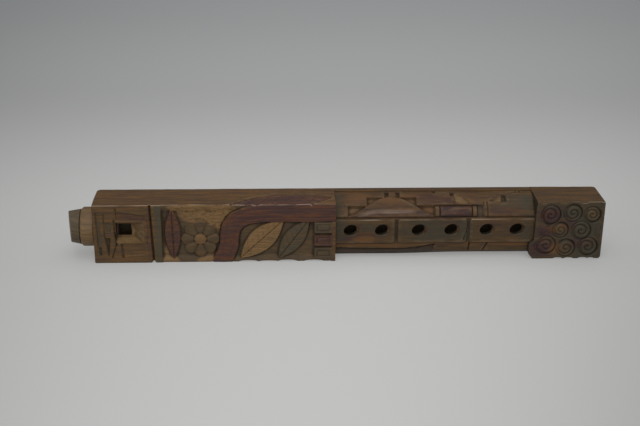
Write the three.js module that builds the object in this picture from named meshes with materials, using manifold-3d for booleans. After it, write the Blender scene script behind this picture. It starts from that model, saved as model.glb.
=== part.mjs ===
// A carved wooden duct flute: a square casing, a bamboo pipe inside it and a round mouthpiece.
// Lengths are in millimetres. X runs from the mouth end to the tail, the front with the
// finger holes faces -Y, and Z is up from the flat underside. The origin is under the middle.
import * as THREE from "three";
import { mergeVertices } from "three/addons/utils/BufferGeometryUtils.js";
import { ConvexGeometry } from "three/addons/geometries/ConvexGeometry.js";
import Module from "manifold-3d";

const wasm = await Module();
wasm.setup();

// Casing: four stretches along the flute
const headLength = 46;
const pictureLength = 144;
const gripLength = 157;
const tailLength = 56;
const casingHeight = 49;
const casingDepth = 35.5;
const arrisChamfer = 0.6;
const mouthCornerRadius = 5;
const endCornerRadius = 3.2;

// Grip: the stretch with the finger holes, cut back behind the front
const stripSetback = 4.5;
const stripFoot = 13.4;
const stripHeight = 20.4;
const stripStep = 1.3;
const stripGapWidth = 2.4;
const stripGapDepth = 1.5;
const stripGapShares = [0.3095, 0.6745];
const shoulderBulge = 4;
const backLedgeWidth = 6.7;
const backLedgeStep = 0.9;
const apronFoot = 5.6;
const apronLean = 1.4;
const keelWidth = 22;
const underRaise = 1.4;

// Tail block: the toe that stands over the grip's lower edge
const toeReach = 2.6;
const toeFoot = 9.3;
const toeTop = 12.4;
const toeShoulder = 16;
const toeUndercut = 3.8;

// Groove between the head and the carved panel
const grooveWidth = 2.8;
const grooveDepth = 2.6;

// Cuts on the head's front. Places are shares of the head's length and of the casing's height
const strokeWidth = 1.2;
const strokeDepth = 1;
const browDepth = 0.8;
const sillDepth = 0.5;
const strokeShares = [
  [0.056, 0.867, 0.078, 0.184],
  [0.187, 0.847, 0.191, 0.439],
  [0.356, 0.735, 0.378, 0.314],
  [0.383, 0.314, 0.304, 0.09],
  [0.396, 0.939, 0.409, 0.751],
  [0.474, 0.318, 0.487, 0.094],
];
const chipShares = [
  [[0.087, 0.133], [0.13, 0.133], [0.13, 0.276], [0.087, 0.276]],
  [[0.226, 0.541], [0.296, 0.541], [0.296, 0.706], [0.226, 0.706]],
  [[0.193, 0.441], [0.248, 0.102], [0.287, 0.433]],
];
const browShares = [[0.422, 0.739], [0.896, 0.739], [0.88, 0.829], [0.422, 0.89]];
const sillShares = [[0.509, 0.122], [0.859, 0.151], [0.859, 0.327], [0.509, 0.327]];

// Carved panel: motifs left standing on a ground that is cut back
const groundDepth = 2.3;
const groundRim = 2.2;
const groundEndShares = [0.053, 0.979];
const ribbonWidth = 15;
const ribbonShares = [
  [0.375, -0.04],
  [0.396, 0.122],
  [0.417, 0.286],
  [0.42, 0.449],
  [0.431, 0.602],
  [0.462, 0.724],
  [0.514, 0.806],
  [0.597, 0.841],
  [0.722, 0.845],
  [0.861, 0.837],
  [1.014, 0.845],
];
const leafShares = [
  [[0.1146, 0.061], [0.1076, 0.929], 0.255],
  [[0.479, 0.071], [0.715, 0.724], 0.388],
  [[0.6875, 0.061], [0.854, 0.724], 0.316],
];
const rosettePlaceShares = [0.2604, 0.404];
const rosetteRadius = 15.2;
const rosetteLobes = 8;
const rosetteLobeShare = 0.1;
const keyWidth = 14.6;
const keyHeight = 9.6;
const keyPlaceShares = [[0.882, 0.041], [0.882, 0.265], [0.882, 0.49]];

// Shoulder: a stepped pocket with a hill standing in it, a lying bead and chip cuts.
// Places are shares of the grip's length and of the way up the shoulder
const pocketDepth = 1.9;
const pocketStepShares = [
  [0.065, 0.06],
  [0.501, 0.06],
  [0.501, 0.385],
  [0.413, 0.385],
  [0.413, 0.69],
  [0.329, 0.69],
  [0.329, 0.75],
  [0.2535, 0.75],
  [0.2535, 0.69],
  [0.1625, 0.69],
  [0.1625, 0.37],
  [0.065, 0.37],
];
const hillMiddleShare = 0.2854;
const hillReachShare = 0.242;
const hillTopShare = 0.735;
const hillSteps = 16;
const shoulderSlotDepth = 1.6;
const shoulderSlotWidth = 3;
const shoulderSlotShares = [0.2656, 0.3223];
const beadRecess = 1.5;
const beadRise = 0.5;
const beadWidth = 9.4;
const beadUpShare = 0.2225;
const beadEndShares = [0.505, 0.721];
const beadRecessShares = [0.5, 0.752];
const shoulderChipDepth = 1.3;
const shoulderChipShares = [
  [[0.518, 0.9], [0.589, 0.78], [0.518, 0.985]],
  [[0.608, 0.44], [0.685, 0.42], [0.613, 0.8]],
  [[0.799, 0.53], [0.846, 0.49], [0.872, 0.5], [0.872, 0.77], [0.851, 0.76]],
  [[0.876, 0.8], [0.945, 0.92], [0.94, 0.985]],
];

// Apron: the part below a hull line is hollowed out
const apronHollow = 0.8;
const apronEndShare = 0.503;
const apronHullShares = [[0, 0.178], [0.08, 0.155], [0.127, 0.145], [0.395, 0.145], [0.446, 0.171]];
const apronTopShare = 0.216;

// Tail front: round scrolls and buds left standing on a sunk ground
const tailGroundDepth = 1.1;
const tailGroundShares = [0.045, 0.964];
const scrollShares = [
  [0.232, 0.776, 0.167],
  [0.554, 0.806, 0.147],
  [0.83, 0.776, 0.135],
  [0.393, 0.51, 0.131],
  [0.6875, 0.5, 0.159],
  [0.205, 0.245, 0.155],
  [0.491, 0.194, 0.151],
  [0.804, 0.214, 0.159],
];
const budShares = [
  [[0.08, 0.449], [0.259, 0.592], 0.143],
  [[0.92, 0.388], [0.9375, 0.673], 0.122],
  [[0.348, 0.337], [0.625, 0.367], 0.102],
];

// Pipe and the bore that holds it
const boreHeight = 24.5;
const boreDiameter = 18;
const pipeDiameter = 22;
const pipeTailRecess = 1;
const glueGap = 0.3;

// Sound window: a square funnel from the front down to the bore
const windowStart = 18.7;
const windowLength = 21.5;
const windowFoot = 17.3;
const windowTop = 35;
const slotLength = 10.4;
const slotFoot = 21.2;
const slotTop = 30.4;

// Finger holes
const fingerHoleDiameter = 9.4;
const fingerRimDiameter = 10.4;
const fingerRimDepth = 0.7;
const fingerHeight = 24.6;
const fingerLean = THREE.MathUtils.degToRad(10);
const fingerPlaceShares = [0.0765, 0.2345, 0.4215, 0.5875, 0.767, 0.9195];

// Mouthpiece: collar, tapered tip and the block that forms the windway
const collarDiameter = 31.3;
const collarWidth = 11;
const collarRounding = 1.8;
const tipLength = 9.8;
const tipBaseDiameter = 28.1;
const tipEndDiameter = 24.9;
const tipRounding = 1;
const blockClearance = 0.25;
const windwayHeight = 1.6;

// Faces on round work, and the overrun that lets a cutter pass right through
const roundFaces = 48;
const holeFaces = 28;
const curveFaces = 10;
const motifFaces = 6;
const rosetteFaces = 32;
const scrollFaces = 14;
const ribbonSteps = 14;
const overrun = 4;

// Stations and levels worked out from the sizes
const casingLength = headLength + pictureLength + gripLength + tailLength;
const wholeLength = tipLength + collarWidth + casingLength;
const mouthEnd = -wholeLength / 2;
const collarStart = mouthEnd + tipLength;
const casingStart = collarStart + collarWidth;
const pictureStart = casingStart + headLength;
const gripStart = pictureStart + pictureLength;
const tailStart = gripStart + gripLength;
const tailEnd = tailStart + tailLength;
const front = -casingDepth / 2;
const back = casingDepth / 2;
const stripFace = front + stripSetback;
const stripTop = stripFoot + stripHeight;
const boreRadius = boreDiameter / 2;
const pipeRadius = pipeDiameter / 2;
const casingBoreRadius = pipeRadius + glueGap;
const blockRadius = boreRadius - blockClearance;
const windowMouth = casingStart + windowStart;
const windowEnd = windowMouth + windowLength;
const slotDepth = casingDepth / 2 - boreRadius;

// The shoulder's curve, in depth and height, with the straight line between its ends
const shoulderFoot = new THREE.Vector2(stripFace + stripStep, stripTop);
const shoulderHead = new THREE.Vector2(back - backLedgeWidth, casingHeight - backLedgeStep);
const shoulderChord = shoulderFoot.distanceTo(shoulderHead);
const shoulderSlope = shoulderHead.clone().sub(shoulderFoot).normalize();
const shoulderOutwards = new THREE.Vector2(-shoulderSlope.y, shoulderSlope.x);
const shoulderCrown = shoulderFoot.clone().add(shoulderHead).divideScalar(2);
shoulderCrown.addScaledVector(shoulderOutwards, 2 * shoulderBulge);

// Joins and cuts closed meshes by way of solids
function toSolid(geometry) {
  const bare = geometry.clone();
  bare.deleteAttribute("normal");
  bare.deleteAttribute("uv");
  const merged = mergeVertices(bare, 1e-4);
  return new wasm.Manifold(
    new wasm.Mesh({
      numProp: 3,
      vertProperties: merged.attributes.position.array,
      triVerts: new Uint32Array(merged.index.array),
    }),
  );
}

function toGeometry(solid) {
  const { vertProperties, triVerts } = solid.getMesh();
  const geometry = new THREE.BufferGeometry();
  geometry.setAttribute("position", new THREE.BufferAttribute(vertProperties, 3));
  geometry.setIndex(new THREE.BufferAttribute(triVerts, 1));
  geometry.computeVertexNormals();
  return geometry;
}

function cutFrom(solid, cutters) {
  return cutters.reduce((left, cutter) => left.subtract(cutter), solid);
}

// A closed outline through the given points
function outline(points) {
  return new THREE.Shape(points.map(([x, y]) => new THREE.Vector2(x, y)));
}

function extruded(shape, depth, curveSegments = curveFaces) {
  return new THREE.ExtrudeGeometry(shape, { depth, bevelEnabled: false, curveSegments });
}

function boxView(left, right, foot, top) {
  return outline([[left, foot], [right, foot], [right, top], [left, top]]);
}

// A section in depth and height, run along the flute
function alongFlute(section, start, end) {
  const depthAxis = new THREE.Vector3(0, 1, 0);
  const heightAxis = new THREE.Vector3(0, 0, 1);
  const lengthAxis = new THREE.Vector3(1, 0, 0);
  const turn = new THREE.Matrix4().makeBasis(depthAxis, heightAxis, lengthAxis);
  return toSolid(extruded(section, end - start).applyMatrix4(turn).translate(start, 0, 0));
}

// A front view in length and height, run from one depth back to another
function throughDepth(view, near, far, curveSegments) {
  const geometry = extruded(view, far - near, curveSegments).rotateX(Math.PI / 2);
  return toSolid(geometry.translate(0, far, 0));
}

// A ring turned about the bore's axis, from [radius, station] points
function turned(profile) {
  const points = profile.map(([radius, station]) => new THREE.Vector2(radius, station));
  points.push(points[0].clone());
  const geometry = new THREE.LatheGeometry(points, roundFaces);
  return toSolid(geometry.rotateZ(-Math.PI / 2).translate(0, 0, boreHeight));
}

// A round bar along the flute on the bore's axis
function barAlong(radius, start, end) {
  const geometry = new THREE.CylinderGeometry(radius, radius, end - start, roundFaces);
  const middle = (start + end) / 2;
  return toSolid(geometry.rotateZ(-Math.PI / 2).translate(middle, 0, boreHeight));
}

// Square section of the head, the carved panel and the tail, with eased arrises
function blockSection() {
  const ease = arrisChamfer;
  return outline([
    [front + ease, 0],
    [back - ease, 0],
    [back, ease],
    [back, casingHeight - ease],
    [back - ease, casingHeight],
    [front + ease, casingHeight],
    [front, casingHeight - ease],
    [front, ease],
  ]);
}

// Section of the grip: a bulging shoulder, the upright strip with the holes and a leaning apron
function gripSection() {
  const section = new THREE.Shape();
  section.moveTo(back - arrisChamfer, underRaise);
  section.lineTo(back, underRaise + arrisChamfer);
  section.lineTo(back, casingHeight - arrisChamfer);
  section.lineTo(back - arrisChamfer, casingHeight);
  section.lineTo(shoulderHead.x, casingHeight);
  section.lineTo(shoulderHead.x, shoulderHead.y);
  section.quadraticCurveTo(shoulderCrown.x, shoulderCrown.y, shoulderFoot.x, shoulderFoot.y);
  section.lineTo(stripFace, stripTop);
  section.lineTo(stripFace, stripFoot);
  section.lineTo(stripFace + stripStep, stripFoot);
  section.lineTo(stripFace + stripStep + apronLean, apronFoot);
  section.lineTo(back - keelWidth, underRaise);
  return section;
}

// Front view of the tail block, with the toe that laps over the grip's lower edge
function tailView() {
  const view = new THREE.Shape();
  view.moveTo(tailStart + toeUndercut, 0);
  view.lineTo(tailEnd - endCornerRadius, 0);
  view.absarc(tailEnd - endCornerRadius, endCornerRadius, endCornerRadius, -Math.PI / 2, 0, false);
  view.lineTo(tailEnd, casingHeight);
  view.lineTo(tailStart, casingHeight);
  view.lineTo(tailStart, toeShoulder);
  view.lineTo(tailStart - toeReach, toeTop);
  view.lineTo(tailStart - toeReach, toeFoot);
  return view;
}

// The whole casing seen from above, with its back corners rounded
function planPrism() {
  const [near, far] = [mouthCornerRadius, endCornerRadius];
  const plan = new THREE.Shape();
  plan.moveTo(casingStart, front);
  plan.lineTo(tailEnd, front);
  plan.lineTo(tailEnd, back - far);
  plan.absarc(tailEnd - far, back - far, far, 0, Math.PI / 2, false);
  plan.lineTo(casingStart + near, back);
  plan.absarc(casingStart + near, back - near, near, Math.PI / 2, Math.PI, false);
  return toSolid(extruded(plan, casingHeight));
}

// The upright groove on the front where the head ends
function headGroove() {
  const plan = outline([
    [pictureStart - grooveWidth / 2, front - overrun],
    [pictureStart + grooveWidth / 2, front - overrun],
    [pictureStart + grooveWidth / 2, front],
    [pictureStart, front + grooveDepth],
    [pictureStart - grooveWidth / 2, front],
  ]);
  return toSolid(extruded(plan, casingHeight + 2 * overrun).translate(0, 0, -overrun));
}

// Upright gaps that part the strip into three panels
function stripGaps() {
  return stripGapShares.map((share) => {
    const middle = gripStart + share * gripLength;
    const [left, right] = [middle - stripGapWidth / 2, middle + stripGapWidth / 2];
    const view = boxView(left, right, stripFoot - stripStep, stripTop + stripStep);
    return throughDepth(view, front, stripFace + stripGapDepth);
  });
}

// The funnel of the sound window: its mouth on the front, its slot at the bore
function windowFunnel() {
  const between = (mouthValue, slotValue, share) => mouthValue + (slotValue - mouthValue) * share;
  const corners = (depth) => {
    const share = depth / slotDepth;
    const end = between(windowEnd, windowMouth + slotLength, share);
    const foot = between(windowFoot, slotFoot, share);
    const top = between(windowTop, slotTop, share);
    return [
      [windowMouth, foot],
      [end, foot],
      [end, top],
      [windowMouth, top],
    ].map(([x, z]) => new THREE.Vector3(x, front + depth, z));
  };
  const funnel = toSolid(new ConvexGeometry([...corners(-overrun), ...corners(slotDepth)]));
  const slot = boxView(windowMouth, windowMouth + slotLength, slotFoot, slotTop);
  return funnel.add(throughDepth(slot, front + slotDepth / 2, -boreRadius + overrun));
}

// One finger hole with its bevelled rim, leaning towards the mouth end as it goes in
function fingerHole(share) {
  const station = gripStart + share * gripLength;
  const radius = fingerHoleDiameter / 2;
  const reach = boreRadius;
  const barrel = new THREE.CylinderGeometry(radius, radius, reach + overrun, holeFaces);
  barrel.translate(0, (reach - overrun) / 2, 0);
  const flare = (fingerRimDiameter - fingerHoleDiameter) / 2;
  const mouthRadius = radius + (flare * (overrun + fingerRimDepth)) / fingerRimDepth;
  const rim = new THREE.CylinderGeometry(radius, mouthRadius, overrun + fingerRimDepth, holeFaces);
  rim.translate(0, (fingerRimDepth - overrun) / 2, 0);
  const cutters = [barrel, rim].map((cutter) =>
    toSolid(cutter.rotateZ(fingerLean).translate(station, stripFace, fingerHeight)),
  );
  return cutters[0].add(cutters[1]);
}

// A place on the front of a stretch, from shares of its length and of the casing's height
function onFront(start, length, [alongShare, upShare]) {
  return [start + alongShare * length, upShare * casingHeight];
}

// A cut from the front, as deep as given
function frontCut(view, depth) {
  return throughDepth(view, front - overrun, front + depth, motifFaces);
}

// A leaf pointed at both ends
function leafView(foot, tip, width) {
  const side = new THREE.Vector2(foot[1] - tip[1], tip[0] - foot[0]).setLength(width);
  const middle = new THREE.Vector2(foot[0] + tip[0], foot[1] + tip[1]).divideScalar(2);
  const view = new THREE.Shape();
  view.moveTo(...foot);
  view.quadraticCurveTo(middle.x - side.x, middle.y - side.y, ...tip);
  view.quadraticCurveTo(middle.x + side.x, middle.y + side.y, ...foot);
  return view;
}

// The broad ribbon that rises from the panel's foot and runs on under its top arris
function ribbonView() {
  const route = ribbonShares.map((share) => onFront(pictureStart, pictureLength, share));
  const curve = new THREE.SplineCurve(route.map(([x, z]) => new THREE.Vector2(x, z)));
  const steps = Array.from({ length: ribbonSteps + 1 }, (_, i) => i / ribbonSteps);
  const edge = (side) =>
    steps.map((share) => {
      const tangent = curve.getTangent(share);
      const across = new THREE.Vector2(-tangent.y, tangent.x);
      return curve.getPoint(share).addScaledVector(across, (side * ribbonWidth) / 2).toArray();
    });
  return outline([...edge(1), ...edge(-1).reverse()]);
}

function rosetteView() {
  const [x, z] = onFront(pictureStart, pictureLength, rosettePlaceShares);
  const turns = Array.from({ length: rosetteFaces }, (_, i) => (2 * Math.PI * i) / rosetteFaces);
  return outline(
    turns.map((turn) => {
      const lobe = 1 - rosetteLobeShare * (1 - Math.cos(rosetteLobes * turn));
      return [x + rosetteRadius * lobe * Math.cos(turn), z + rosetteRadius * lobe * Math.sin(turn)];
    }),
  );
}

// The panel's ground, cut back round its motifs
function panelGround() {
  const [left, right] = groundEndShares.map((share) => pictureStart + share * pictureLength);
  const place = (share) => onFront(pictureStart, pictureLength, share);
  const leaves = leafShares.map(([foot, tip, widthShare]) =>
    leafView(place(foot), place(tip), widthShare * casingHeight),
  );
  const keys = keyPlaceShares.map((share) => {
    const [x, z] = place(share);
    return boxView(x, x + keyWidth, z, z + keyHeight);
  });
  const motifs = [ribbonView(), rosetteView(), ...leaves, ...keys];
  const ground = frontCut(boxView(left, right, groundRim, casingHeight - groundRim), groundDepth);
  return cutFrom(ground, motifs.map((view) => frontCut(view, 2 * groundDepth)));
}

// The strokes and sunk fields on the head's front
function headCuts() {
  const place = (share) => onFront(casingStart, headLength, share);
  const strokes = strokeShares.map(([fromAlong, fromUp, toAlong, toUp]) => {
    const [[x, z], [endX, endZ]] = [place([fromAlong, fromUp]), place([toAlong, toUp])];
    const half = strokeWidth / 2;
    return outline([[x - half, z], [endX - half, endZ], [endX + half, endZ], [x + half, z]]);
  });
  const chips = chipShares.map((shares) => outline(shares.map(place)));
  return [
    ...[...strokes, ...chips].map((view) => frontCut(view, strokeDepth)),
    frontCut(outline(browShares.map(place)), browDepth),
    frontCut(outline(sillShares.map(place)), sillDepth),
  ];
}

// The tail's ground, sunk round its scrolls and buds
function tailGround() {
  const [left, right] = tailGroundShares.map((share) => tailStart + share * tailLength);
  const place = (share) => onFront(tailStart, tailLength, share);
  const scrolls = scrollShares.map(([alongShare, upShare, radiusShare]) => {
    const disc = new THREE.CylinderGeometry(
      radiusShare * casingHeight,
      radiusShare * casingHeight,
      2 * overrun,
      scrollFaces,
    );
    const [x, z] = place([alongShare, upShare]);
    return toSolid(disc.translate(x, front, z));
  });
  const buds = budShares.map(([foot, tip, widthShare]) =>
    frontCut(leafView(place(foot), place(tip), widthShare * casingHeight), overrun),
  );
  const ground = boxView(left, right, -overrun, casingHeight + overrun);
  return cutFrom(frontCut(ground, tailGroundDepth), [...scrolls, ...buds]);
}

// A place on the shoulder, from shares of the grip's length and of the way up the shoulder
function onShoulder([alongShare, upShare]) {
  return [gripStart + alongShare * gripLength, upShare * shoulderChord];
}

// A prism square to the shoulder, from its outline in length and way up
function shoulderPrism(view) {
  const turn = new THREE.Matrix4().makeBasis(
    new THREE.Vector3(1, 0, 0),
    new THREE.Vector3(0, shoulderSlope.x, shoulderSlope.y),
    new THREE.Vector3(0, shoulderOutwards.x, shoulderOutwards.y),
  );
  const geometry = extruded(view, shoulderBulge + 2 * overrun).translate(0, 0, -overrun);
  return toSolid(geometry.applyMatrix4(turn).translate(0, shoulderFoot.x, shoulderFoot.y));
}

// A cut that follows the shoulder's bulge at an even depth
function shoulderCut(view, depth) {
  const sunk = (point, by) => point.clone().addScaledVector(shoulderOutwards, -by);
  const [foot, crown, head] = [shoulderFoot, shoulderCrown, shoulderHead].map((point) =>
    sunk(point, depth),
  );
  const under = 2 * overrun;
  const core = new THREE.Shape();
  core.moveTo(foot.x, foot.y);
  core.lineTo(sunk(foot, under).x, sunk(foot, under).y);
  core.lineTo(sunk(head, under).x, sunk(head, under).y);
  core.lineTo(head.x, head.y);
  core.quadraticCurveTo(crown.x, crown.y, foot.x, foot.y);
  return cutFrom(shoulderPrism(view), [alongFlute(core, gripStart, tailStart)]);
}

// The hill that stands in the stepped pocket, bell-shaped
function hillView() {
  const foot = pocketStepShares[0][1];
  const steps = Array.from({ length: hillSteps + 1 }, (_, i) => (2 * i) / hillSteps - 1);
  const crest = steps.map((step) => {
    const drop = (1 - Math.cos(Math.PI * step)) / 2;
    const up = hillTopShare - (hillTopShare - foot) * drop;
    return onShoulder([hillMiddleShare + step * hillReachShare, up]);
  });
  return outline(crest.reverse());
}

// The lying bead, a round bar that stands a little proud of the shoulder
function beadBar() {
  const curve = new THREE.QuadraticBezierCurve(shoulderFoot, shoulderCrown, shoulderHead);
  const tangent = curve.getTangent(beadUpShare);
  const height = beadRecess + beadRise;
  const radius = ((beadWidth / 2) ** 2 + height ** 2) / (2 * height);
  const centre = curve.getPoint(beadUpShare);
  centre.addScaledVector(new THREE.Vector2(-tangent.y, tangent.x), beadRise - radius);
  const [start, end] = beadEndShares.map((share) => gripStart + share * gripLength);
  const bar = new THREE.CylinderGeometry(radius, radius, end - start, holeFaces);
  return toSolid(bar.rotateZ(Math.PI / 2).translate((start + end) / 2, centre.x, centre.y));
}

// The cuts on the shoulder, save for the bead
function shoulderCuts() {
  const pocket = outline(pocketStepShares.map(onShoulder));
  const stepped = cutFrom(shoulderCut(pocket, pocketDepth), [shoulderPrism(hillView())]);
  const slots = shoulderSlotShares.map((share) => {
    const [x, foot] = onShoulder([share, hillTopShare]);
    const half = shoulderSlotWidth / 2;
    return shoulderCut(boxView(x - half, x + half, foot, shoulderChord), shoulderSlotDepth);
  });
  const chips = shoulderChipShares.map((shares) =>
    shoulderCut(outline(shares.map(onShoulder)), shoulderChipDepth),
  );
  const [start, end] = beadRecessShares.map((share) => gripStart + share * gripLength);
  const middle = beadUpShare * shoulderChord;
  const recess = boxView(start, end, middle - beadWidth / 2, middle + beadWidth / 2);
  return [stepped, ...slots, ...chips, shoulderCut(recess, beadRecess)];
}

// The hollow under the hull line on the apron
function apronHollowing() {
  const place = (share) => onFront(gripStart, gripLength, share);
  const hull = apronHullShares.map(place);
  const [, foot] = place([0, 0]);
  const end = place([apronEndShare, apronTopShare]);
  const view = outline([...hull, end, [end[0], foot], [gripStart, foot]]);
  return throughDepth(view, front, stripFace + stripStep + apronLean + apronHollow);
}

// The carved casing, one length of hardwood bored from end to end
function carvedCasing(holes) {
  const mouthBlock = alongFlute(blockSection(), casingStart, gripStart);
  const grip = alongFlute(gripSection(), gripStart - overrun, tailStart + overrun);
  const tail = throughDepth(tailView(), front, back).intersect(
    alongFlute(blockSection(), tailStart - overrun, tailEnd),
  );
  const blank = mouthBlock.add(grip).add(tail).intersect(planPrism());
  const carving = [headGroove(), ...headCuts(), panelGround(), tailGround(), ...stripGaps()];
  const carved = cutFrom(blank, [...carving, ...shoulderCuts(), apronHollowing()]);
  const bore = barAlong(casingBoreRadius, casingStart - overrun, tailEnd + overrun);
  return cutFrom(carved.add(beadBar()), [bore, ...holes]);
}

// The bamboo pipe, from the collar's outer face to just inside the tail
function bambooPipe(holes) {
  const end = tailEnd - pipeTailRecess;
  const tube = turned([
    [boreRadius, collarStart],
    [pipeRadius, collarStart],
    [pipeRadius, end],
    [boreRadius, end],
  ]);
  return cutFrom(tube, holes);
}

// Points of a rounded outer corner, between two outward directions given as angles
function roundedCorner(radius, station, rounding, fromAngle, toAngle) {
  const steps = Array.from({ length: curveFaces / 2 + 1 }, (_, i) => i / (curveFaces / 2));
  return steps.map((share) => {
    const angle = fromAngle + (toAngle - fromAngle) * share;
    return [radius + rounding * Math.cos(angle), station + rounding * Math.sin(angle)];
  });
}

// The pale collar round the pipe's end, seated against the casing
function mouthCollar() {
  const inner = pipeRadius + glueGap;
  const rounded = collarDiameter / 2 - collarRounding;
  const end = casingStart - glueGap;
  return turned([
    [inner, collarStart],
    ...roundedCorner(rounded, collarStart + collarRounding, collarRounding, -Math.PI / 2, 0),
    [collarDiameter / 2, end],
    [inner, end],
  ]);
}

// The dark tapered tip that the lips close on
function mouthTip() {
  const rounded = tipEndDiameter / 2 - tipRounding;
  const base = collarStart - glueGap;
  return turned([
    [boreRadius, mouthEnd],
    ...roundedCorner(rounded, mouthEnd + tipRounding, tipRounding, -Math.PI / 2, 0),
    [tipBaseDiameter / 2, base],
    [boreRadius, base],
  ]);
}

// The block that fills the bore up to the sound window, flat in front to leave the windway
function fippleBlock() {
  const bar = barAlong(blockRadius, mouthEnd, windowMouth);
  const flat = new THREE.BoxGeometry(
    windowMouth - mouthEnd + 2 * overrun,
    windwayHeight + overrun,
    boreDiameter,
  );
  const middle = (mouthEnd + windowMouth) / 2;
  flat.translate(middle, -boreRadius + (windwayHeight - overrun) / 2, boreHeight);
  return cutFrom(bar, [toSolid(flat)]);
}

function named(name, solid, colour, roughness) {
  const material = new THREE.MeshStandardMaterial({ color: colour, roughness, metalness: 0 });
  const mesh = new THREE.Mesh(toGeometry(solid), material);
  mesh.name = name;
  return mesh;
}

const holes = [windowFunnel(), ...fingerPlaceShares.map(fingerHole)];
const body = new THREE.Group();
body.add(
  named("carved_casing", carvedCasing(holes), 0x7a4a2b, 0.5),
  named("bamboo_pipe", bambooPipe(holes), 0xc9a468, 0.6),
  named("mouth_collar", mouthCollar(), 0xc4824a, 0.4),
);
const mouthpiece = new THREE.Group();
mouthpiece.add(
  named("mouth_tip", mouthTip(), 0x4a2c1a, 0.4),
  named("fipple_block", fippleBlock(), 0xb98b52, 0.6),
);
const flute = new THREE.Group();
flute.add(body, mouthpiece);

export default flute;
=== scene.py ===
"""Dresses a carved wooden duct flute with a bamboo pipe, and its plain studio."""

import logging
import math
from dataclasses import dataclass, field
from enum import Enum, IntEnum
from typing import ClassVar, Sequence

import bmesh
import bpy
import numpy as np
from mathutils import Euler, Matrix, Vector


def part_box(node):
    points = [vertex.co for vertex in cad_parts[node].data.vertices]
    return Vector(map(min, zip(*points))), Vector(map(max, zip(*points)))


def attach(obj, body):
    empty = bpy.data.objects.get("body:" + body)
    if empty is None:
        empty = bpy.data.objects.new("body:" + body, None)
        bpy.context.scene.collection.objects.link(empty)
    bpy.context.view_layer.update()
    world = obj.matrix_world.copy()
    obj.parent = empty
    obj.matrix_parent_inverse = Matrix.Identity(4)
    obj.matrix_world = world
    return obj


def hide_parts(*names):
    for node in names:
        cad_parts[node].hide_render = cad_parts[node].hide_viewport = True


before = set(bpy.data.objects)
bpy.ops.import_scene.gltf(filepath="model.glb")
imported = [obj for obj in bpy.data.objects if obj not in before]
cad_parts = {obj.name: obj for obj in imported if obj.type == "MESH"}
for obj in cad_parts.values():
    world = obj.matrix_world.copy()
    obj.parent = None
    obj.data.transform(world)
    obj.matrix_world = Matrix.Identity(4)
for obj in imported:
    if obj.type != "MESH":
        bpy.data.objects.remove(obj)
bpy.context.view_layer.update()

LOG = logging.getLogger("flute")
MM = 0.001
Array = np.ndarray
Point = tuple[float, float]
Triple = tuple[float, float, float]
Colour = tuple[float, float, float, float]
Cuts = tuple[tuple[float | Point, ...], ...]


class Body(Enum):
    """The rigid bodies that the pieces ride on."""

    FLUTE = "flute_body"
    MOUTHPIECE = "mouthpiece"


class Tint(Enum):
    """Colour channels that the carving carries to its material."""

    RED = 0
    PALE = 1
    OLIVE = 2
    # HOLLOW is high in hollows, which the material darkens as painted shade, and low on bare edges
    # and proud parts, which it paints pale, as rubbing and as painted highlight.
    HOLLOW = 3


class Wall(IntEnum):
    """Kinds of face on a cut piece, numbered as its materials are."""

    CARVED = 0
    BARE = 1
    # Dark wood standing as painted shade in the holes and on cut walls that face away from the
    # mouth.
    IN_SHADE = 2
    # End-grain wood on the casing's ends, and on cut walls that face the mouth as painted shade.
    END = 3


Stains = dict[Tint, tuple[tuple[float, ...], ...]]

# Sizes of the flute, taken from the frame


def node_box(node: str) -> tuple[Vector, Vector]:
    """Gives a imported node's lowest and highest corners in millimetres."""
    low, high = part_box(node)
    return Vector(low) / MM, Vector(high) / MM


@dataclass(frozen=True)
class Sizes:
    """Millimetres: the casing's stations, depths and level, the pipe's, then those of the cuts."""

    start: float
    end: float
    front: float
    back: float
    height: float
    pipe_start: float
    pipe_end: float
    pipe_radius: float
    head: float = 46.0
    picture: float = 144.0
    grip: float = 157.0
    bore_height: float = 24.5
    bore_radius: float = 9.0
    glue_gap: float = 0.3

    @property
    def grip_start(self) -> float:
        """Station where the grip starts."""
        return self.start + self.head + self.picture

    @property
    def tail_start(self) -> float:
        """Station where the tail block starts."""
        return self.grip_start + self.grip


def measure_frame() -> Sizes:
    """Reads the casing's and the pipe's sizes from the frame.

    Returns:
        The sizes, in millimetres.
    """
    low, high = node_box("carved_casing")
    pipe_low, pipe_high = node_box("bamboo_pipe")
    radius = (pipe_high.y - pipe_low.y) / 2
    return Sizes(low.x, high.x, low.y, high.y, high.z, pipe_low.x, pipe_high.x, radius)


# Faces being carved, in millimetres


def ease(value: Array) -> Array:
    """Smooth ramp from 0 to 1 over the unit interval."""
    share = np.clip(value, 0.0, 1.0)
    return share * share * (3.0 - 2.0 * share)


def inside(distance: Array, edge: float) -> Array:
    """Turns a signed distance, negative inside, into a mask that fades over the edge's width."""
    return ease(0.5 - distance / edge)


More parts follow.
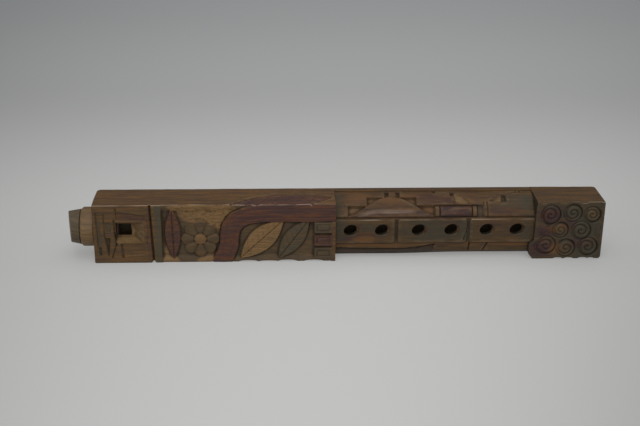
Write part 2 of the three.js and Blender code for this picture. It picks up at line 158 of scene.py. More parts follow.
@dataclass
class Plane:
    """Points on a face, which tell how far they are from shapes drawn on it."""

    x: Array
    z: Array

    def path(self, *corners: Point) -> Array:
        """Distance from a chain of straight stretches.

        Args:
            *corners: the chain's corners.

        Returns:
            The distance of each point.
        """
        reaches = []
        for (ax, az), (bx, bz) in zip(corners, corners[1:]):
            run, rise, dx, dz = bx - ax, bz - az, self.x - ax, self.z - az
            share = np.clip((dx * run + dz * rise) / (run * run + rise * rise), 0.0, 1.0)
            reaches.append(np.hypot(dx - share * run, dz - share * rise))
        return np.minimum.reduce(reaches)

    def polygon(self, *corners: Point) -> Array:
        """Signed distance from a closed outline, negative inside.

        Args:
            *corners: the outline's corners in order.

        Returns:
            The signed distance of each point.
        """
        ring = [*corners, corners[0]]
        odd = np.zeros(self.x.shape, dtype=bool)
        for (ax, az), (bx, bz) in zip(ring, ring[1:]):
            crosses = (az > self.z) != (bz > self.z)
            odd ^= crosses & (self.x < (bx - ax) * (self.z - az) / (bz - az or 1e-9) + ax)
        return np.where(odd, -1.0, 1.0) * self.path(*ring)

    def box(self, low: Point, high: Point, corner: float = 0.0) -> Array:
        """Signed distance from an upright box, negative inside.

        Args:
            low: the box's lowest corner.
            high: its highest corner.
            corner: radius of its corners.

        Returns:
            The signed distance of each point.
        """
        dx, dz = (
            np.abs(place - (least + most) / 2) - (most - least) / 2 + corner
            for place, least, most in zip((self.x, self.z), low, high)
        )
        outer = np.hypot(np.maximum(dx, 0.0), np.maximum(dz, 0.0))
        return outer + np.minimum(np.maximum(dx, dz), 0.0) - corner

    def rib(self, foot: Point, tip: Point) -> tuple[Array, Array, float]:
        """Places the points along and across the rib of a leaf.

        Args:
            foot: the leaf's foot.
            tip: its tip.

        Returns:
            The share along the rib, the distance across it, and the rib's length.
        """
        run, rise = tip[0] - foot[0], tip[1] - foot[1]
        dx, dz, length = self.x - foot[0], self.z - foot[1], math.hypot(run, rise)
        return (dx * run + dz * rise) / length / length, (dz * run - dx * rise) / length, length

    def leaf(self, foot: Point, tip: Point, width: float) -> Array:
        """Signed distance, roughly, from a leaf pointed at both ends, negative inside.

        Args:
            foot: the leaf's foot.
            tip: its tip.
            width: its greatest width.

        Returns:
            The signed distance of each point.
        """
        share, across, length = self.rib(foot, tip)
        beyond = np.abs(across) - width / 2 * np.sin(np.pi * np.clip(share, 0.0, 1.0)) ** 0.85
        past = np.maximum(np.maximum(-share, share - 1.0), 0.0) * length
        return np.hypot(np.maximum(beyond, 0.0), past) + np.minimum(beyond, 0.0)

    def noise(self, size: Point, seed: int) -> Array:
        """Smooth random ground between -1 and 1, the same on each run.

        Args:
            size: width and height of one swell.
            seed: picks the ground.

        Returns:
            The ground's level at each point.
        """
        lattice = np.random.default_rng(seed).uniform(-1.0, 1.0, (64, 64))
        u, v = self.x / size[0] + 1000.0, self.z / size[1] + 1000.0
        i, j = np.floor(u).astype(int), np.floor(v).astype(int)
        fu, fv = ease(u - i), ease(v - j)
        low, high = (
            lattice[i % 64, row % 64] * (1 - fu) + lattice[(i + 1) % 64, row % 64] * fu
            for row in (j, j + 1)
        )
        return low * (1 - fv) + high * fv


def blurred(values: Array, reach: int) -> Array:
    """Evens out a grid of numbers, twice each way.

    Args:
        values: the grid.
        reach: how many cells to each side are taken in.

    Returns:
        The grid, evened out.
    """
    shifts = range(2 * reach + 1)
    for axis in (0, 0, 1, 1):
        padded = np.pad(values, [(reach * (a == axis),) * 2 for a in (0, 1)], mode="edge")
        size = values.shape[axis]
        values = sum(np.take(padded, range(k, k + size), axis) for k in shifts) / len(shifts)
    return values


@dataclass
class Relief(Plane):
    """A face being carved: how far its points stand out, and their tints."""

    level: Array = field(init=False)
    tints: dict[Tint, Array] = field(init=False)

    def __post_init__(self) -> None:
        """Starts the face flat and untinted."""
        self.level = np.zeros(self.x.shape)
        self.tints = {tint: np.zeros(self.x.shape) for tint in Tint}

    def seen_from(self, start: float) -> Plane:
        """The face's points, their stations measured from a start."""
        return Plane(self.x - start, self.z)

    def swings(self, length: float, seed: int) -> Array:
        """Random swings along the face, from -1 to 1."""
        return Plane(self.x, 0.0 * self.z).noise((length, 60.0), seed)

    def stacked(self) -> Array:
        """The four tints of each point, in the order that the material reads them."""
        return np.stack([np.clip(self.tints[tint], 0.0, 1.0) for tint in Tint], axis=-1)

    def sink(
        self, mask: Array, depth: float | Array, tint: Tint | None = None, strength: float = 1.0
    ) -> None:
        """Cuts the masked part back by a depth, and lays a tint over it."""
        self.level -= mask * depth
        self.paint(tint, mask, strength)

    def settle(
        self, mask: Array, level: float | Array, tint: Tint | None = None, strength: float = 1.0
    ) -> None:
        """Brings the masked part to a level of its own, and lays a tint over it."""
        self.level = self.level * (1 - mask) + mask * level
        self.paint(tint, mask, strength)

    def groove(self, distance: Array, width: float, depth: float) -> None:
        """Cuts a V along a line."""
        self.level -= depth * np.clip(1.0 - distance / (width / 2), 0.0, 1.0)

    def grooves(self, at: Plane, cuts: Cuts) -> None:
        """Cuts a V of a width and a depth along each of several paths."""
        for width, depth, *corners in cuts:
            self.groove(at.path(*corners), width, depth)

    def veins(self, at: Plane, rib: tuple[Point, Point], shape: Triple, leaf: Array) -> None:
        """Cuts the side veins of a leaf.

        Args:
            at: the face's points.
            rib: the leaf's foot and tip.
            shape: how far the veins sweep, how far apart they are and how deep.
            leaf: the part that they keep to.
        """
        (share, across, length), (sweep, pitch, depth) = at.rib(*rib), shape
        reach = np.abs((share * length - np.abs(across) * sweep) / pitch % 1.0 - 0.5) * pitch
        self.level -= leaf * depth * np.clip(1.0 - reach / 0.6, 0.0, 1.0)

    def wear_and_highlight(self, distance: Array, width: float, strength: Array | float = 1.0) -> None:
        """Pales wood within a width of a line as rubbing and painted highlight, by its strength."""
        worn = inside(distance - width, width) * strength
        self.tints[Tint.HOLLOW] = self.tints[Tint.HOLLOW] * (1 - worn) + 0.05 * worn

    def paint_shade(self, hollow: Array) -> None:
        """Notes painted shade, where there is less of it so far."""
        self.tints[Tint.HOLLOW] = np.maximum(self.tints[Tint.HOLLOW], hollow)

    def paint(self, tint: Tint | None, mask: Array, strength: float = 1.0) -> None:
        """Lays a tint over the masked part, in place of the others there.

        Args:
            tint: the tint, or None to leave those that are there.
            mask: the part.
            strength: how strong the tint is.
        """
        if tint is None:
            return
        for other in (Tint.RED, Tint.PALE, Tint.OLIVE):
            self.tints[other] *= 1 - mask
        self.tints[tint] += mask * strength

    def soak(self, at: Plane, stains: Stains, slope: float = 1.0) -> None:
        """Soaks soft round patches with tints, over those that are there.

        Args:
            at: the face's points.
            stains: for each tint, the patches' middles, half sizes and strengths.
            slope: the length that their heights are given in.
        """
        for tint, patches in stains.items():
            for x, z, width, height, strength in patches:
                reach = np.hypot((at.x - x) / width, (at.z - z * slope) / (height * slope))
                self.tints[tint] += strength * ease(1.4 - reach)

    def weather(self, seed: int, swell: float = 0.12) -> None:
        """Adds the unevenness of hand work, and notes its hollows, darkened by the material as
        painted shade, and its proud parts, which it lightens.

        Args:
            seed: picks the unevenness.
            swell: its height.
        """
        self.level += swell * self.noise((17.0, 9.0), seed)
        self.level += swell * 0.5 * self.noise((5.0, 3.2), seed + 1)
        # Points below their blurred surroundings count as hollows: painted shade.
        lee = blurred(self.level, 4) - self.level
        self.tints[Tint.HOLLOW] = np.clip(0.5 + lee * 0.55, 0.42, 1.0)


@dataclass(frozen=True)
class Scallop:
    """A round bite out of a face's bottom edge, or out of its top edge, in millimetres."""

    middle: float
    width: float
    depth: float
    at_top: bool = False

    def bite(self, stations: Array) -> Array:
        """How deep it goes at each station."""
        share = np.clip(1.0 - ((stations - self.middle) / (self.width / 2)) ** 2, 0.0, 1.0)
        return self.depth * np.sqrt(share)


def bitten(scallops: Sequence[Scallop], at_top: bool, stations: Array) -> Array:
    """How far the bites draw in a face's top or bottom edge at each station."""
    bites = [scallop.bite(stations) for scallop in scallops if scallop.at_top == at_top]
    return np.maximum.reduce([np.zeros_like(stations), *bites])


# Points closed into meshes


@dataclass(frozen=True)
class Spacing:
    """How closely the casing's points lie, in millimetres, and how they crowd at its edges."""

    along: float = 0.46
    face: float = 0.47
    top: float = 0.62
    slope: float = 0.5
    plain: float = 3.2
    end_crowd: tuple[float, ...] = (0.0, 0.12, 0.3, 0.6, 1.0, 1.5, 2.1, 2.8)
    side_crowd: tuple[float, ...] = (0.0, 0.16, 0.36, 0.62, 0.95)

    def stations(self, start: float, end: float) -> Array:
        """Stations along a stretch."""
        inner, crowd = np.arange(start + 3.3, end - 3.2, self.along), np.array(self.end_crowd)
        return np.concatenate([start + crowd, inner, (end - crowd)[::-1]])

    def shares(self, length: float, step: float) -> Array:
        """Shares across a face."""
        inner, crowd = np.arange(1.4, length - 1.3, step), np.array(self.side_crowd)
        return np.concatenate([crowd, inner, (length - crowd)[::-1]]) / length


def add_object(name: str, data: bpy.types.ID) -> bpy.types.Object:
    """Puts something in the scene at the origin.

    Args:
        name: the object's name.
        data: its mesh, lamp or camera.

    Returns:
        The new object.
    """
    piece = bpy.data.objects.new(name, data)
    bpy.context.scene.collection.objects.link(piece)
    return piece


def add_form(name: str, form: bmesh.types.BMesh) -> bpy.types.Object:
    """Puts a form in the scene as a mesh, and frees the form.

    Args:
        name: the object's name.
        form: the form, in metres.

    Returns:
        The new object.
    """
    mesh = bpy.data.meshes.new(name)
    form.to_mesh(mesh)
    form.free()
    return add_object(name, mesh)


def tint_points(mesh: bpy.types.Mesh, tints: Sequence[float]) -> None:
    """Gives each point of a mesh its four tints, which come in one row."""
    layer = mesh.color_attributes.new("carving", "FLOAT_COLOR", "POINT")
    layer.data.foreach_set("color", tints)


def ring_mesh(name: str, rings: Array, tints: Array) -> bpy.types.Object:
    """Closes a stack of rings of points into one solid.

    Args:
        name: the object's name.
        rings: points in millimetres, by station, then round the ring.
        tints: the four tints of each point, in the same order.

    Returns:
        The new object.
    """
    index = np.arange(rings.shape[0] * rings.shape[1]).reshape(rings.shape[:2])
    ahead = np.roll(index, -1, axis=1)
    quads = np.stack([index[:-1], index[1:], ahead[1:], ahead[:-1]], axis=-1).reshape(-1, 4)
    faces = quads.tolist() + [index[0].tolist(), index[-1][::-1].tolist()]
    mesh = bpy.data.meshes.new(name)
    mesh.from_pydata((rings.reshape(-1, 3) * MM).tolist(), [], faces)
    tint_points(mesh, tints.reshape(-1))
    mesh.update()
    return add_object(name, mesh)


def bake_modifiers(piece: bpy.types.Object) -> None:
    """Works a piece's modifiers into its mesh and takes them off.

    Args:
        piece: the piece.
    """
    graph = bpy.context.evaluated_depsgraph_get()
    mesh = bpy.data.meshes.new_from_object(piece.evaluated_get(graph))
    piece.modifiers.clear()
    old, piece.data = piece.data, mesh
    bpy.data.meshes.remove(old)


def cut_away(piece: bpy.types.Object, cutters: Sequence[bpy.types.Object]) -> None:
    """Cuts other solids out of a piece, and clears them away.

    Args:
        piece: the piece that is cut.
        cutters: closed objects.
    """
    for cutter in cutters:
        if "carving" not in cutter.data.color_attributes:
            tint_points(cutter.data, [0.0, 0.6, 0.0, 0.5] * len(cutter.data.vertices))
        cut = piece.modifiers.new("cut", "BOOLEAN")
        cut.operation, cut.solver, cut.object = "DIFFERENCE", "MANIFOLD", cutter
    bake_modifiers(piece)
    for cutter in cutters:
        bpy.data.objects.remove(cutter)


def cone(name: str, radii: Point, ends: tuple[Vector, Vector], sides: int) -> bpy.types.Object:
    """A closed cone or bar between two points.

    Args:
        name: the object's name.
        radii: its radius at each end, in millimetres.
        ends: its two ends, in millimetres.
        sides: how many sides it has.

    Returns:
        The new object.
    """
    axis = ends[1] - ends[0]
    turn = axis.to_track_quat("Z", "Y").to_matrix().to_4x4()
    form = bmesh.new()
    bmesh.ops.create_cone(
        form,
        cap_ends=True,
        segments=sides,
        radius1=radii[0] * MM,
        radius2=radii[1] * MM,
        depth=axis.length * MM,
        matrix=Matrix.Translation((ends[0] + ends[1]) / 2 * MM) @ turn,
    )
    return add_form(name, form)


def shade(piece: bpy.types.Object, angle: float = 42.0) -> None:
    """Shades a piece smoothly.

    Args:
        piece: the piece.
        angle: edges past this angle, in degrees, stay sharp.
    """
    piece.data.polygons.foreach_set("use_smooth", [True] * len(piece.data.polygons))
    piece.data.set_sharp_from_angle(angle=math.radians(angle))
    piece.data.update()


def finish_with(piece: bpy.types.Object, *materials: bpy.types.Material) -> None:
    """Gives a piece its materials, with the first one all over.

    Args:
        piece: the piece.
        *materials: the materials, in the order of their numbers.
    """
    piece.data.materials.clear()
    for material in materials:
        piece.data.materials.append(material)
    piece.data.polygons.foreach_set("material_index", [0] * len(piece.data.polygons))


def face_facts(piece: bpy.types.Object) -> tuple[Array, Array, Array]:
    """Reads what is known of a piece's faces.

    Args:
        piece: the piece.

    Returns:
        The faces' areas in square millimetres, their middles in millimetres and their directions.
    """
    facts = []
    for what, width, unit in (("area", 1, MM**2), ("center", 3, MM), ("normal", 3, 1.0)):
        values = np.empty(len(piece.data.polygons) * width)
        piece.data.polygons.foreach_get(what, values)
        facts.append(values.reshape(-1, width) / unit)
    return facts[0][:, 0], facts[1], facts[2]


# Shader maths


class Sock:
    """A shader value that can be added, multiplied and compared in plain Python."""

    def __init__(self, tree: "Shader", socket: bpy.types.NodeSocket) -> None:
        """Holds a socket and the tree that it is in."""
        self.tree = tree
        self.socket = socket

    def __add__(self, other: "Value") -> "Sock":
        """Sum."""
        return self.tree.math("ADD", self, other)

    def __sub__(self, other: "Value") -> "Sock":
        """Difference."""
        return self.tree.math("SUBTRACT", self, other)

    def __rsub__(self, other: float) -> "Sock":
        """Difference, from a number."""
        return self.tree.math("SUBTRACT", other, self)

    def __mul__(self, other: "Value") -> "Sock":
        """Product."""
        return self.tree.math("MULTIPLY", self, other)

    def __truediv__(self, other: "Value") -> "Sock":
        """Quotient."""
        return self.tree.math("DIVIDE", self, other)

    def __pow__(self, other: float) -> "Sock":
        """Power."""
        return self.tree.math("POWER", self, other)

    __radd__ = __add__
    __rmul__ = __mul__

    def clamp(self) -> "Sock":
        """The value held between 0 and 1."""
        return self.tree.math("ADD", self, 0.0, use_clamp=True)

    def ramp(self, start: float, end: float) -> "Sock":
        """Smooth step from 0 at start to 1 at end."""
        inputs = {"Value": self, "From Min": start, "From Max": end, "To Min": 0.0, "To Max": 1.0}
        return self.tree.put("ShaderNodeMapRange", {"interpolation_type": "SMOOTHSTEP"}, inputs)


Value = Sock | float | tuple[float, ...]


class Shader:
    """One material's node tree, built by expressions."""

    def __init__(self, name: str) -> None:
        """Starts an empty tree with its output and main shader.

        Args:
            name: the material's name.
        """
        self.material = bpy.data.materials.new(name)
        self.material.use_nodes = True
        self.nodes = self.material.node_tree.nodes
        self.links = self.material.node_tree.links
        self.nodes.clear()
        self.output = self.nodes.new("ShaderNodeOutputMaterial")
        self.surface = self.nodes.new("ShaderNodeBsdfPrincipled")
        self.links.new(self.surface.outputs["BSDF"], self.output.inputs["Surface"])

    def feed(self, socket: bpy.types.NodeSocket, value: Value) -> None:
        """Links or sets one socket.

        Args:
            socket: the socket.
            value: what it is linked or set to.
        """
        if isinstance(value, Sock):
            self.links.new(value.socket, socket)
        else:
            socket.default_value = value

    def put(
        self,
        kind: str,
        settings: dict[str, object],
        inputs: dict[str | int, Value],
        output: str | int = 0,
    ) -> Sock:
        """Adds any node, its settings first and then its inputs.

        Args:
            kind: the node's type.
            settings: its properties.
            inputs: values or links of its sockets, by name or number.
            output: which output is given back.

        Returns:
            The output.
        """
        node = self.nodes.new(kind)
        for key, setting in settings.items():
            setattr(node, key, setting)
        for key, value in inputs.items():
            self.feed(node.inputs[key], value)
        return Sock(self, node.outputs[output])

    def math(self, operation: str, a: Value, b: Value, use_clamp: bool = False) -> Sock:
        """One Math node."""
        settings = {"operation": operation, "use_clamp": use_clamp}
        return self.put("ShaderNodeMath", settings, {0: a, 1: b})

    def mix(self, share: Value, a: Value, b: Value, blend: str = "MIX") -> Sock:
        """Mixes two colours."""
        settings = {"data_type": "RGBA", "blend_type": blend}
        return self.put("ShaderNodeMix", settings, {0: share, 6: a, 7: b}, 2)

    def layer(self, colour: Sock, coats: Sequence[tuple[Sock, Value]]) -> Sock:
        """Lays coats over a colour in turn.

        Args:
            colour: the colour below.
            coats: each coat's share and colour.

        Returns:
            The colour that shows.
        """
        for share, coat in coats:
            colour = self.mix(share, colour, coat)
        return colour

    def place(self, scale: Triple, shift: Triple = (0, 0, 0)) -> Sock:
        """The point on the piece in millimetres, stretched and shifted."""
        point = self.put("ShaderNodeTexCoord", {}, {}, "Object")
        return self.vector("MULTIPLY_ADD", point, tuple(s / MM for s in scale), shift)

    def vector(self, operation: str, *inputs: Value) -> Sock:
        """One Vector Math node."""
        return self.put("ShaderNodeVectorMath", {"operation": operation}, dict(enumerate(inputs)))

    def noise(self, point: Sock, detail: float = 3.0, roughness: float = 0.55) -> Sock:
        """Noise of unit scale at a stretched point."""
        inputs = {"Vector": point, "Scale": 1.0, "Detail": detail, "Roughness": roughness}
        return self.put("ShaderNodeTexNoise", {}, inputs)

    def parts(self, point: Sock) -> tuple[Sock, Sock, Sock]:
        """A vector's three numbers.

        Args:
            point: the vector.

        Returns:
            Its X, Y and Z.
        """
        node = self.nodes.new("ShaderNodeSeparateXYZ")
        self.feed(node.inputs[0], point)
        return tuple(Sock(self, out) for out in node.outputs)

    def bump(self, height: Sock, distance: float, strength: float = 1.0) -> None:
        """Feeds the surface's normal from a height, in millimetres."""
        inputs = {"Height": height, "Distance": distance * MM, "Strength": strength}
        self.feed(self.surface.inputs["Normal"], self.put("ShaderNodeBump", {}, inputs))

    def finish(self, **inputs: Value) -> bpy.types.Material:
        """Sets the main shader's inputs.

        Args:
            **inputs: values or links, by name with an underscore for each space.

        Returns:
            The finished material.
        """
        for key, value in inputs.items():
            self.feed(self.surface.inputs[key.replace("_", " ")], value)
        return self.material


@dataclass(frozen=True)
class Grain:
    """How a wood's rings and fibres lie, in millimetres."""

    pith: Point = (38.0, -46.0)
    ring: float = 3.1
    fibre: float = 0.5
    run: float = 26.0


def wood_pattern(tree: Shader, grain: Grain) -> tuple[Sock, Sock, Sock]:
    """Rings, fibres and pores of a wood that grew along X.

    Args:
        tree: the material's tree.
        grain: the wood's grain.

    Returns:
        Ring shade, fibre shade and pore mask, each from 0 to 1.
    """
    drift = tree.noise(tree.place((1 / 70, 1 / 14, 1 / 14)), 2.0)
    _, y, z = tree.parts(tree.place((1.0, 1.0, 1.0)))
    reach = ((y - grain.pith[0]) ** 2.0 + (z - grain.pith[1]) ** 2.0) ** 0.5
    turns = (reach + drift * 9.0) * (2 * math.pi / grain.ring)
    rings = tree.math("SINE", turns, 0.0) * 0.5 + 0.5
    across = 1 / grain.fibre
    fibres = tree.noise(tree.place((1 / grain.run, across, across)), 4.0, 0.62)
    pores = tree.noise(tree.place((1 / 5.5, across * 1.7, across * 1.7)), 2.0, 0.5)
    return rings, fibres, pores.ramp(0.60, 0.72)


@dataclass(frozen=True)
class CarvedHardwood:
    """Old stained hardwood, darker in its hollows as painted shade, its edges bare from rubbing and
    pale, also as painted highlight.
    """

    name: str = "carved_hardwood"
    tone: Colour = (1.0, 1.0, 1.0, 1)
    dark: Colour = (0.052, 0.029, 0.012, 1)
    light: Colour = (0.135, 0.074, 0.027, 1)
    red: Colour = (0.078, 0.029, 0.020, 1)
    pale: Colour = (0.235, 0.142, 0.062, 1)
    olive: Colour = (0.056, 0.049, 0.031, 1)
    # The next colour darkens the pores, and the hollows as painted shade.
    soot_and_shade: Colour = (0.020, 0.015, 0.010, 1)
    amber: Colour = (0.142, 0.063, 0.020, 1)
    wine: Colour = (0.068, 0.030, 0.021, 1)
    plum: Colour = (0.048, 0.024, 0.025, 1)
    # The next three colour bare wood on proud parts and edges, and also stand as painted highlight.
    rubbed_and_lit: Colour = (0.165, 0.100, 0.052, 1)
    edge: Colour = (0.260, 0.180, 0.115, 1)
    red_edge_highlight: Colour = (0.270, 0.165, 0.135, 1)
    dust: Colour = (0.110, 0.092, 0.062, 1)

    def build(self) -> bpy.types.Material:
        """Makes the material.

        Returns:
            The casing's material.
        """
        tree = Shader(self.name)
        rings, fibres, pores = wood_pattern(tree, Grain())
        node = tree.nodes.new("ShaderNodeVertexColor")
        node.layer_name = "carving"
        red, pale, olive = tree.parts(Sock(tree, node.outputs["Color"]))
        hollow = Sock(tree, node.outputs["Alpha"])
        bare = 1.0 - hollow
        cloud = tree.noise(tree.place((1 / 26, 1 / 11, 1 / 11)), 3.0)
        patch = tree.noise(tree.place((1 / 9, 1 / 4, 1 / 4), (7, 3, 1)), 3.0)
        streak = tree.noise(tree.place((1 / 24, 1 / 2.4, 1 / 2.4), (2, 8, 5)), 4.0, 0.65)
        deep, worn = hollow.ramp(0.55, 0.98), bare.ramp(0.62, 0.92)
        shade_share = (fibres * 0.9 + rings * 0.09 - 0.02).ramp(0.12, 0.9)
        ground = tree.mix(shade_share, self.dark, self.light)
        glow = cloud.ramp(0.52, 0.66) * streak.ramp(0.50, 0.62) * 0.7
        red_part = tree.mix(streak.ramp(0.42, 0.58), self.plum, self.red)
        coats = [
            (streak.ramp(0.50, 0.64) * 0.80, self.amber),
            (streak.ramp(0.50, 0.36) * 0.72, self.wine),
            (olive * (patch * 0.7 + 0.45).clamp(), self.olive),
            (red * (cloud * 0.7 + 0.45).clamp(), tree.mix(glow, red_part, self.amber)),
            (
                pale * (patch * 0.8 + 0.45).clamp(),
                tree.mix(fibres.ramp(0.25, 0.75), self.light, self.pale),
            ),
            ((red * pale * 6.0).clamp() * 0.80, self.amber),
            (cloud.ramp(0.52, 0.78) * 0.22, self.olive),
            (pores * 0.55, self.soot_and_shade),
            # Painted shade: the hollows darkened.
            (deep * 0.78, self.soot_and_shade),
            # Bare wood on proud parts and edges, lightened; also painted highlight.
            (bare.ramp(0.51, 0.58) * patch.ramp(0.40, 0.66) * 0.42, self.rubbed_and_lit),
            (worn * 0.90, tree.mix(red * 0.8, self.edge, self.red_edge_highlight)),
            (deep * patch.ramp(0.45, 0.75) * 0.25, self.dust),
        ]
        tree.bump(fibres * 0.6 - pores * 0.5 + patch * 0.5, 0.12, 0.9)
        return tree.finish(
            Base_Color=tree.mix(1.0, tree.layer(ground, coats), self.tone, "MULTIPLY"),
            Roughness=(0.46 + patch * 0.16 + deep * 0.3 + pores * 0.15).clamp(),
            Coat_Weight=(worn * 0.5 + 0.03).clamp(),
            Coat_Roughness=0.25,
            Specular_IOR_Level=0.13,
        )


@dataclass(frozen=True)
class PlainWood:
    """A smooth wood or bamboo, with its grain along X."""

    name: str
    dark: Colour
    light: Colour
    rough: float = 0.6
    coat: float = 0.0
    grain: Grain = Grain()
    stain: float = 0.35
    # Radius about the bore's axis within which the wood is darkened as painted shade; 0 for none.
    bore_shade: float = 0.0

    def build(self) -> bpy.types.Material:
        """Makes the material.

        Returns:
            The piece's material.
        """
        tree = Shader(self.name)
        rings, fibres, pores = wood_pattern(tree, self.grain)
        ground = tree.mix((fibres * 0.85 + rings * 0.2).ramp(0.2, 0.85), self.dark, self.light)
        cloud = tree.noise(tree.place((1 / 8, 1 / 7, 1 / 7), (3, 9, 4)), 3.0)
        soot_and_shade = tuple(c * 0.35 for c in self.dark[:3]) + (1.0,)
        coats = [(cloud.ramp(0.5, 0.8) * self.stain, soot_and_shade), (pores * 0.4, soot_and_shade)]
        # Painted shade inside the bore.
        if self.bore_shade:
            _, y, z = tree.parts(tree.place((1.0, 1.0, 1.0), (0.0, 0.0, -Sizes.bore_height)))
            inner = (y**2.0 + z**2.0) ** 0.5
            coats.append((inner.ramp(self.bore_shade + 0.4, self.bore_shade), soot_and_shade))
        tree.bump(fibres * 0.6 - pores * 0.4 + cloud * 0.5, 0.08, 0.8)
        return tree.finish(
            Base_Color=tree.layer(ground, coats),
            Roughness=(self.rough + cloud * 0.15).clamp(),
            Coat_Weight=self.coat,
            Coat_Roughness=0.3,
            Specular_IOR_Level=0.3,
        )


# The carved casing


@dataclass
class Carving:
    """What is cut into a stretch of the casing, in millimetres from its start and underside."""

    start: float

    def carve(self, face: Relief) -> None:
        """Cuts the front, its second place being the level."""

    def carve_top(self, face: Relief) -> None:
        """Cuts the top, its second place being the depth from the front."""

    def scallops(self) -> list[Scallop]:
        """Bites out of the front's edges."""
        return []

    def lean(self, level: Array) -> Array:
        """How far the first end stands from its station at each level."""
        return 0.0 * level


@dataclass
class HeadCarving(Carving):
    """Gouge cuts on the front of the head."""

    cuts: Cuts = (
        (2.2, 0.9, (2.6, 42.5), (3.6, 9.0)),
        (1.7, 0.5, (4.8, 41.0), (5.4, 16.0)),
        (2.1, 0.9, (8.6, 41.5), (8.8, 21.5)),
        (1.7, 0.6, (9.4, 24.8), (15.4, 25.4)),
        (2.2, 1.2, (16.4, 36.0), (17.0, 22.0), (17.8, 15.4)),
        (2.0, 1.1, (17.6, 15.4), (14.0, 4.4)),
        (2.0, 1.1, (18.2, 46.0), (18.8, 36.8)),
        (1.6, 0.7, (41.4, 40.6), (42.6, 34.0), (42.8, 26.0), (41.4, 16.0)),
    )
    wedges: Cuts = (
        (1.6, 0.0, (8.9, 21.6), (13.2, 21.2), (11.4, 5.0)),
        (1.3, 0.0, (16.6, 26.5), (18.6, 19.0), (17.8, 16.0)),
        (0.8, 0.45, (19.4, 43.6), (40.5, 40.6), (41.2, 36.2), (19.4, 36.2)),
        (0.5, 0.0, (23.4, 6.0), (39.5, 7.4), (39.5, 16.0), (23.4, 16.0)),
    )
    ridges: tuple[tuple[Point, Point], ...] = (
        ((19.8, 44.1), (41.0, 41.1)), ((23.6, 5.4), (39.5, 6.7)),
    )

    def carve(self, face: Relief) -> None:
        """Cuts the head's front.

        Args:
            face: the front.
        """
        at = face.seen_from(self.start)
        face.grooves(at, self.cuts)
        face.sink(inside(at.box((4.0, 6.5), (6.0, 13.5), 0.9), 0.9), 1.2)
        face.paint(Tint.OLIVE, inside(at.path((4.4, 36.0), (5.2, 8.0)) - 1.2, 1.4), 0.7)
        face.sink(inside(at.box((10.2, 26.2), (14.0, 34.8), 0.3), 0.9), 0.8, Tint.OLIVE, 0.8)
        for depth, redness, *corners in self.wedges:
            wedge = inside(at.polygon(*corners), 0.9)
            face.sink(wedge, depth)
            face.tints[Tint.RED] += redness * wedge
        band = inside(at.path((21.8, 15.6), (22.6, 5.0)) - 0.9, 0.9)
        face.sink(band, 1.0)
        face.tints[Tint.RED] += 0.5 * band + 0.35 * inside(np.abs(at.x - 43.6) - 1.4, 1.4)
        face.tints[Tint.OLIVE] += 0.24 * inside(at.x - 46.0, 2.0)
        for ends in self.ridges:
            face.level += 0.2 * inside(at.path(*ends) - 0.4, 0.5)


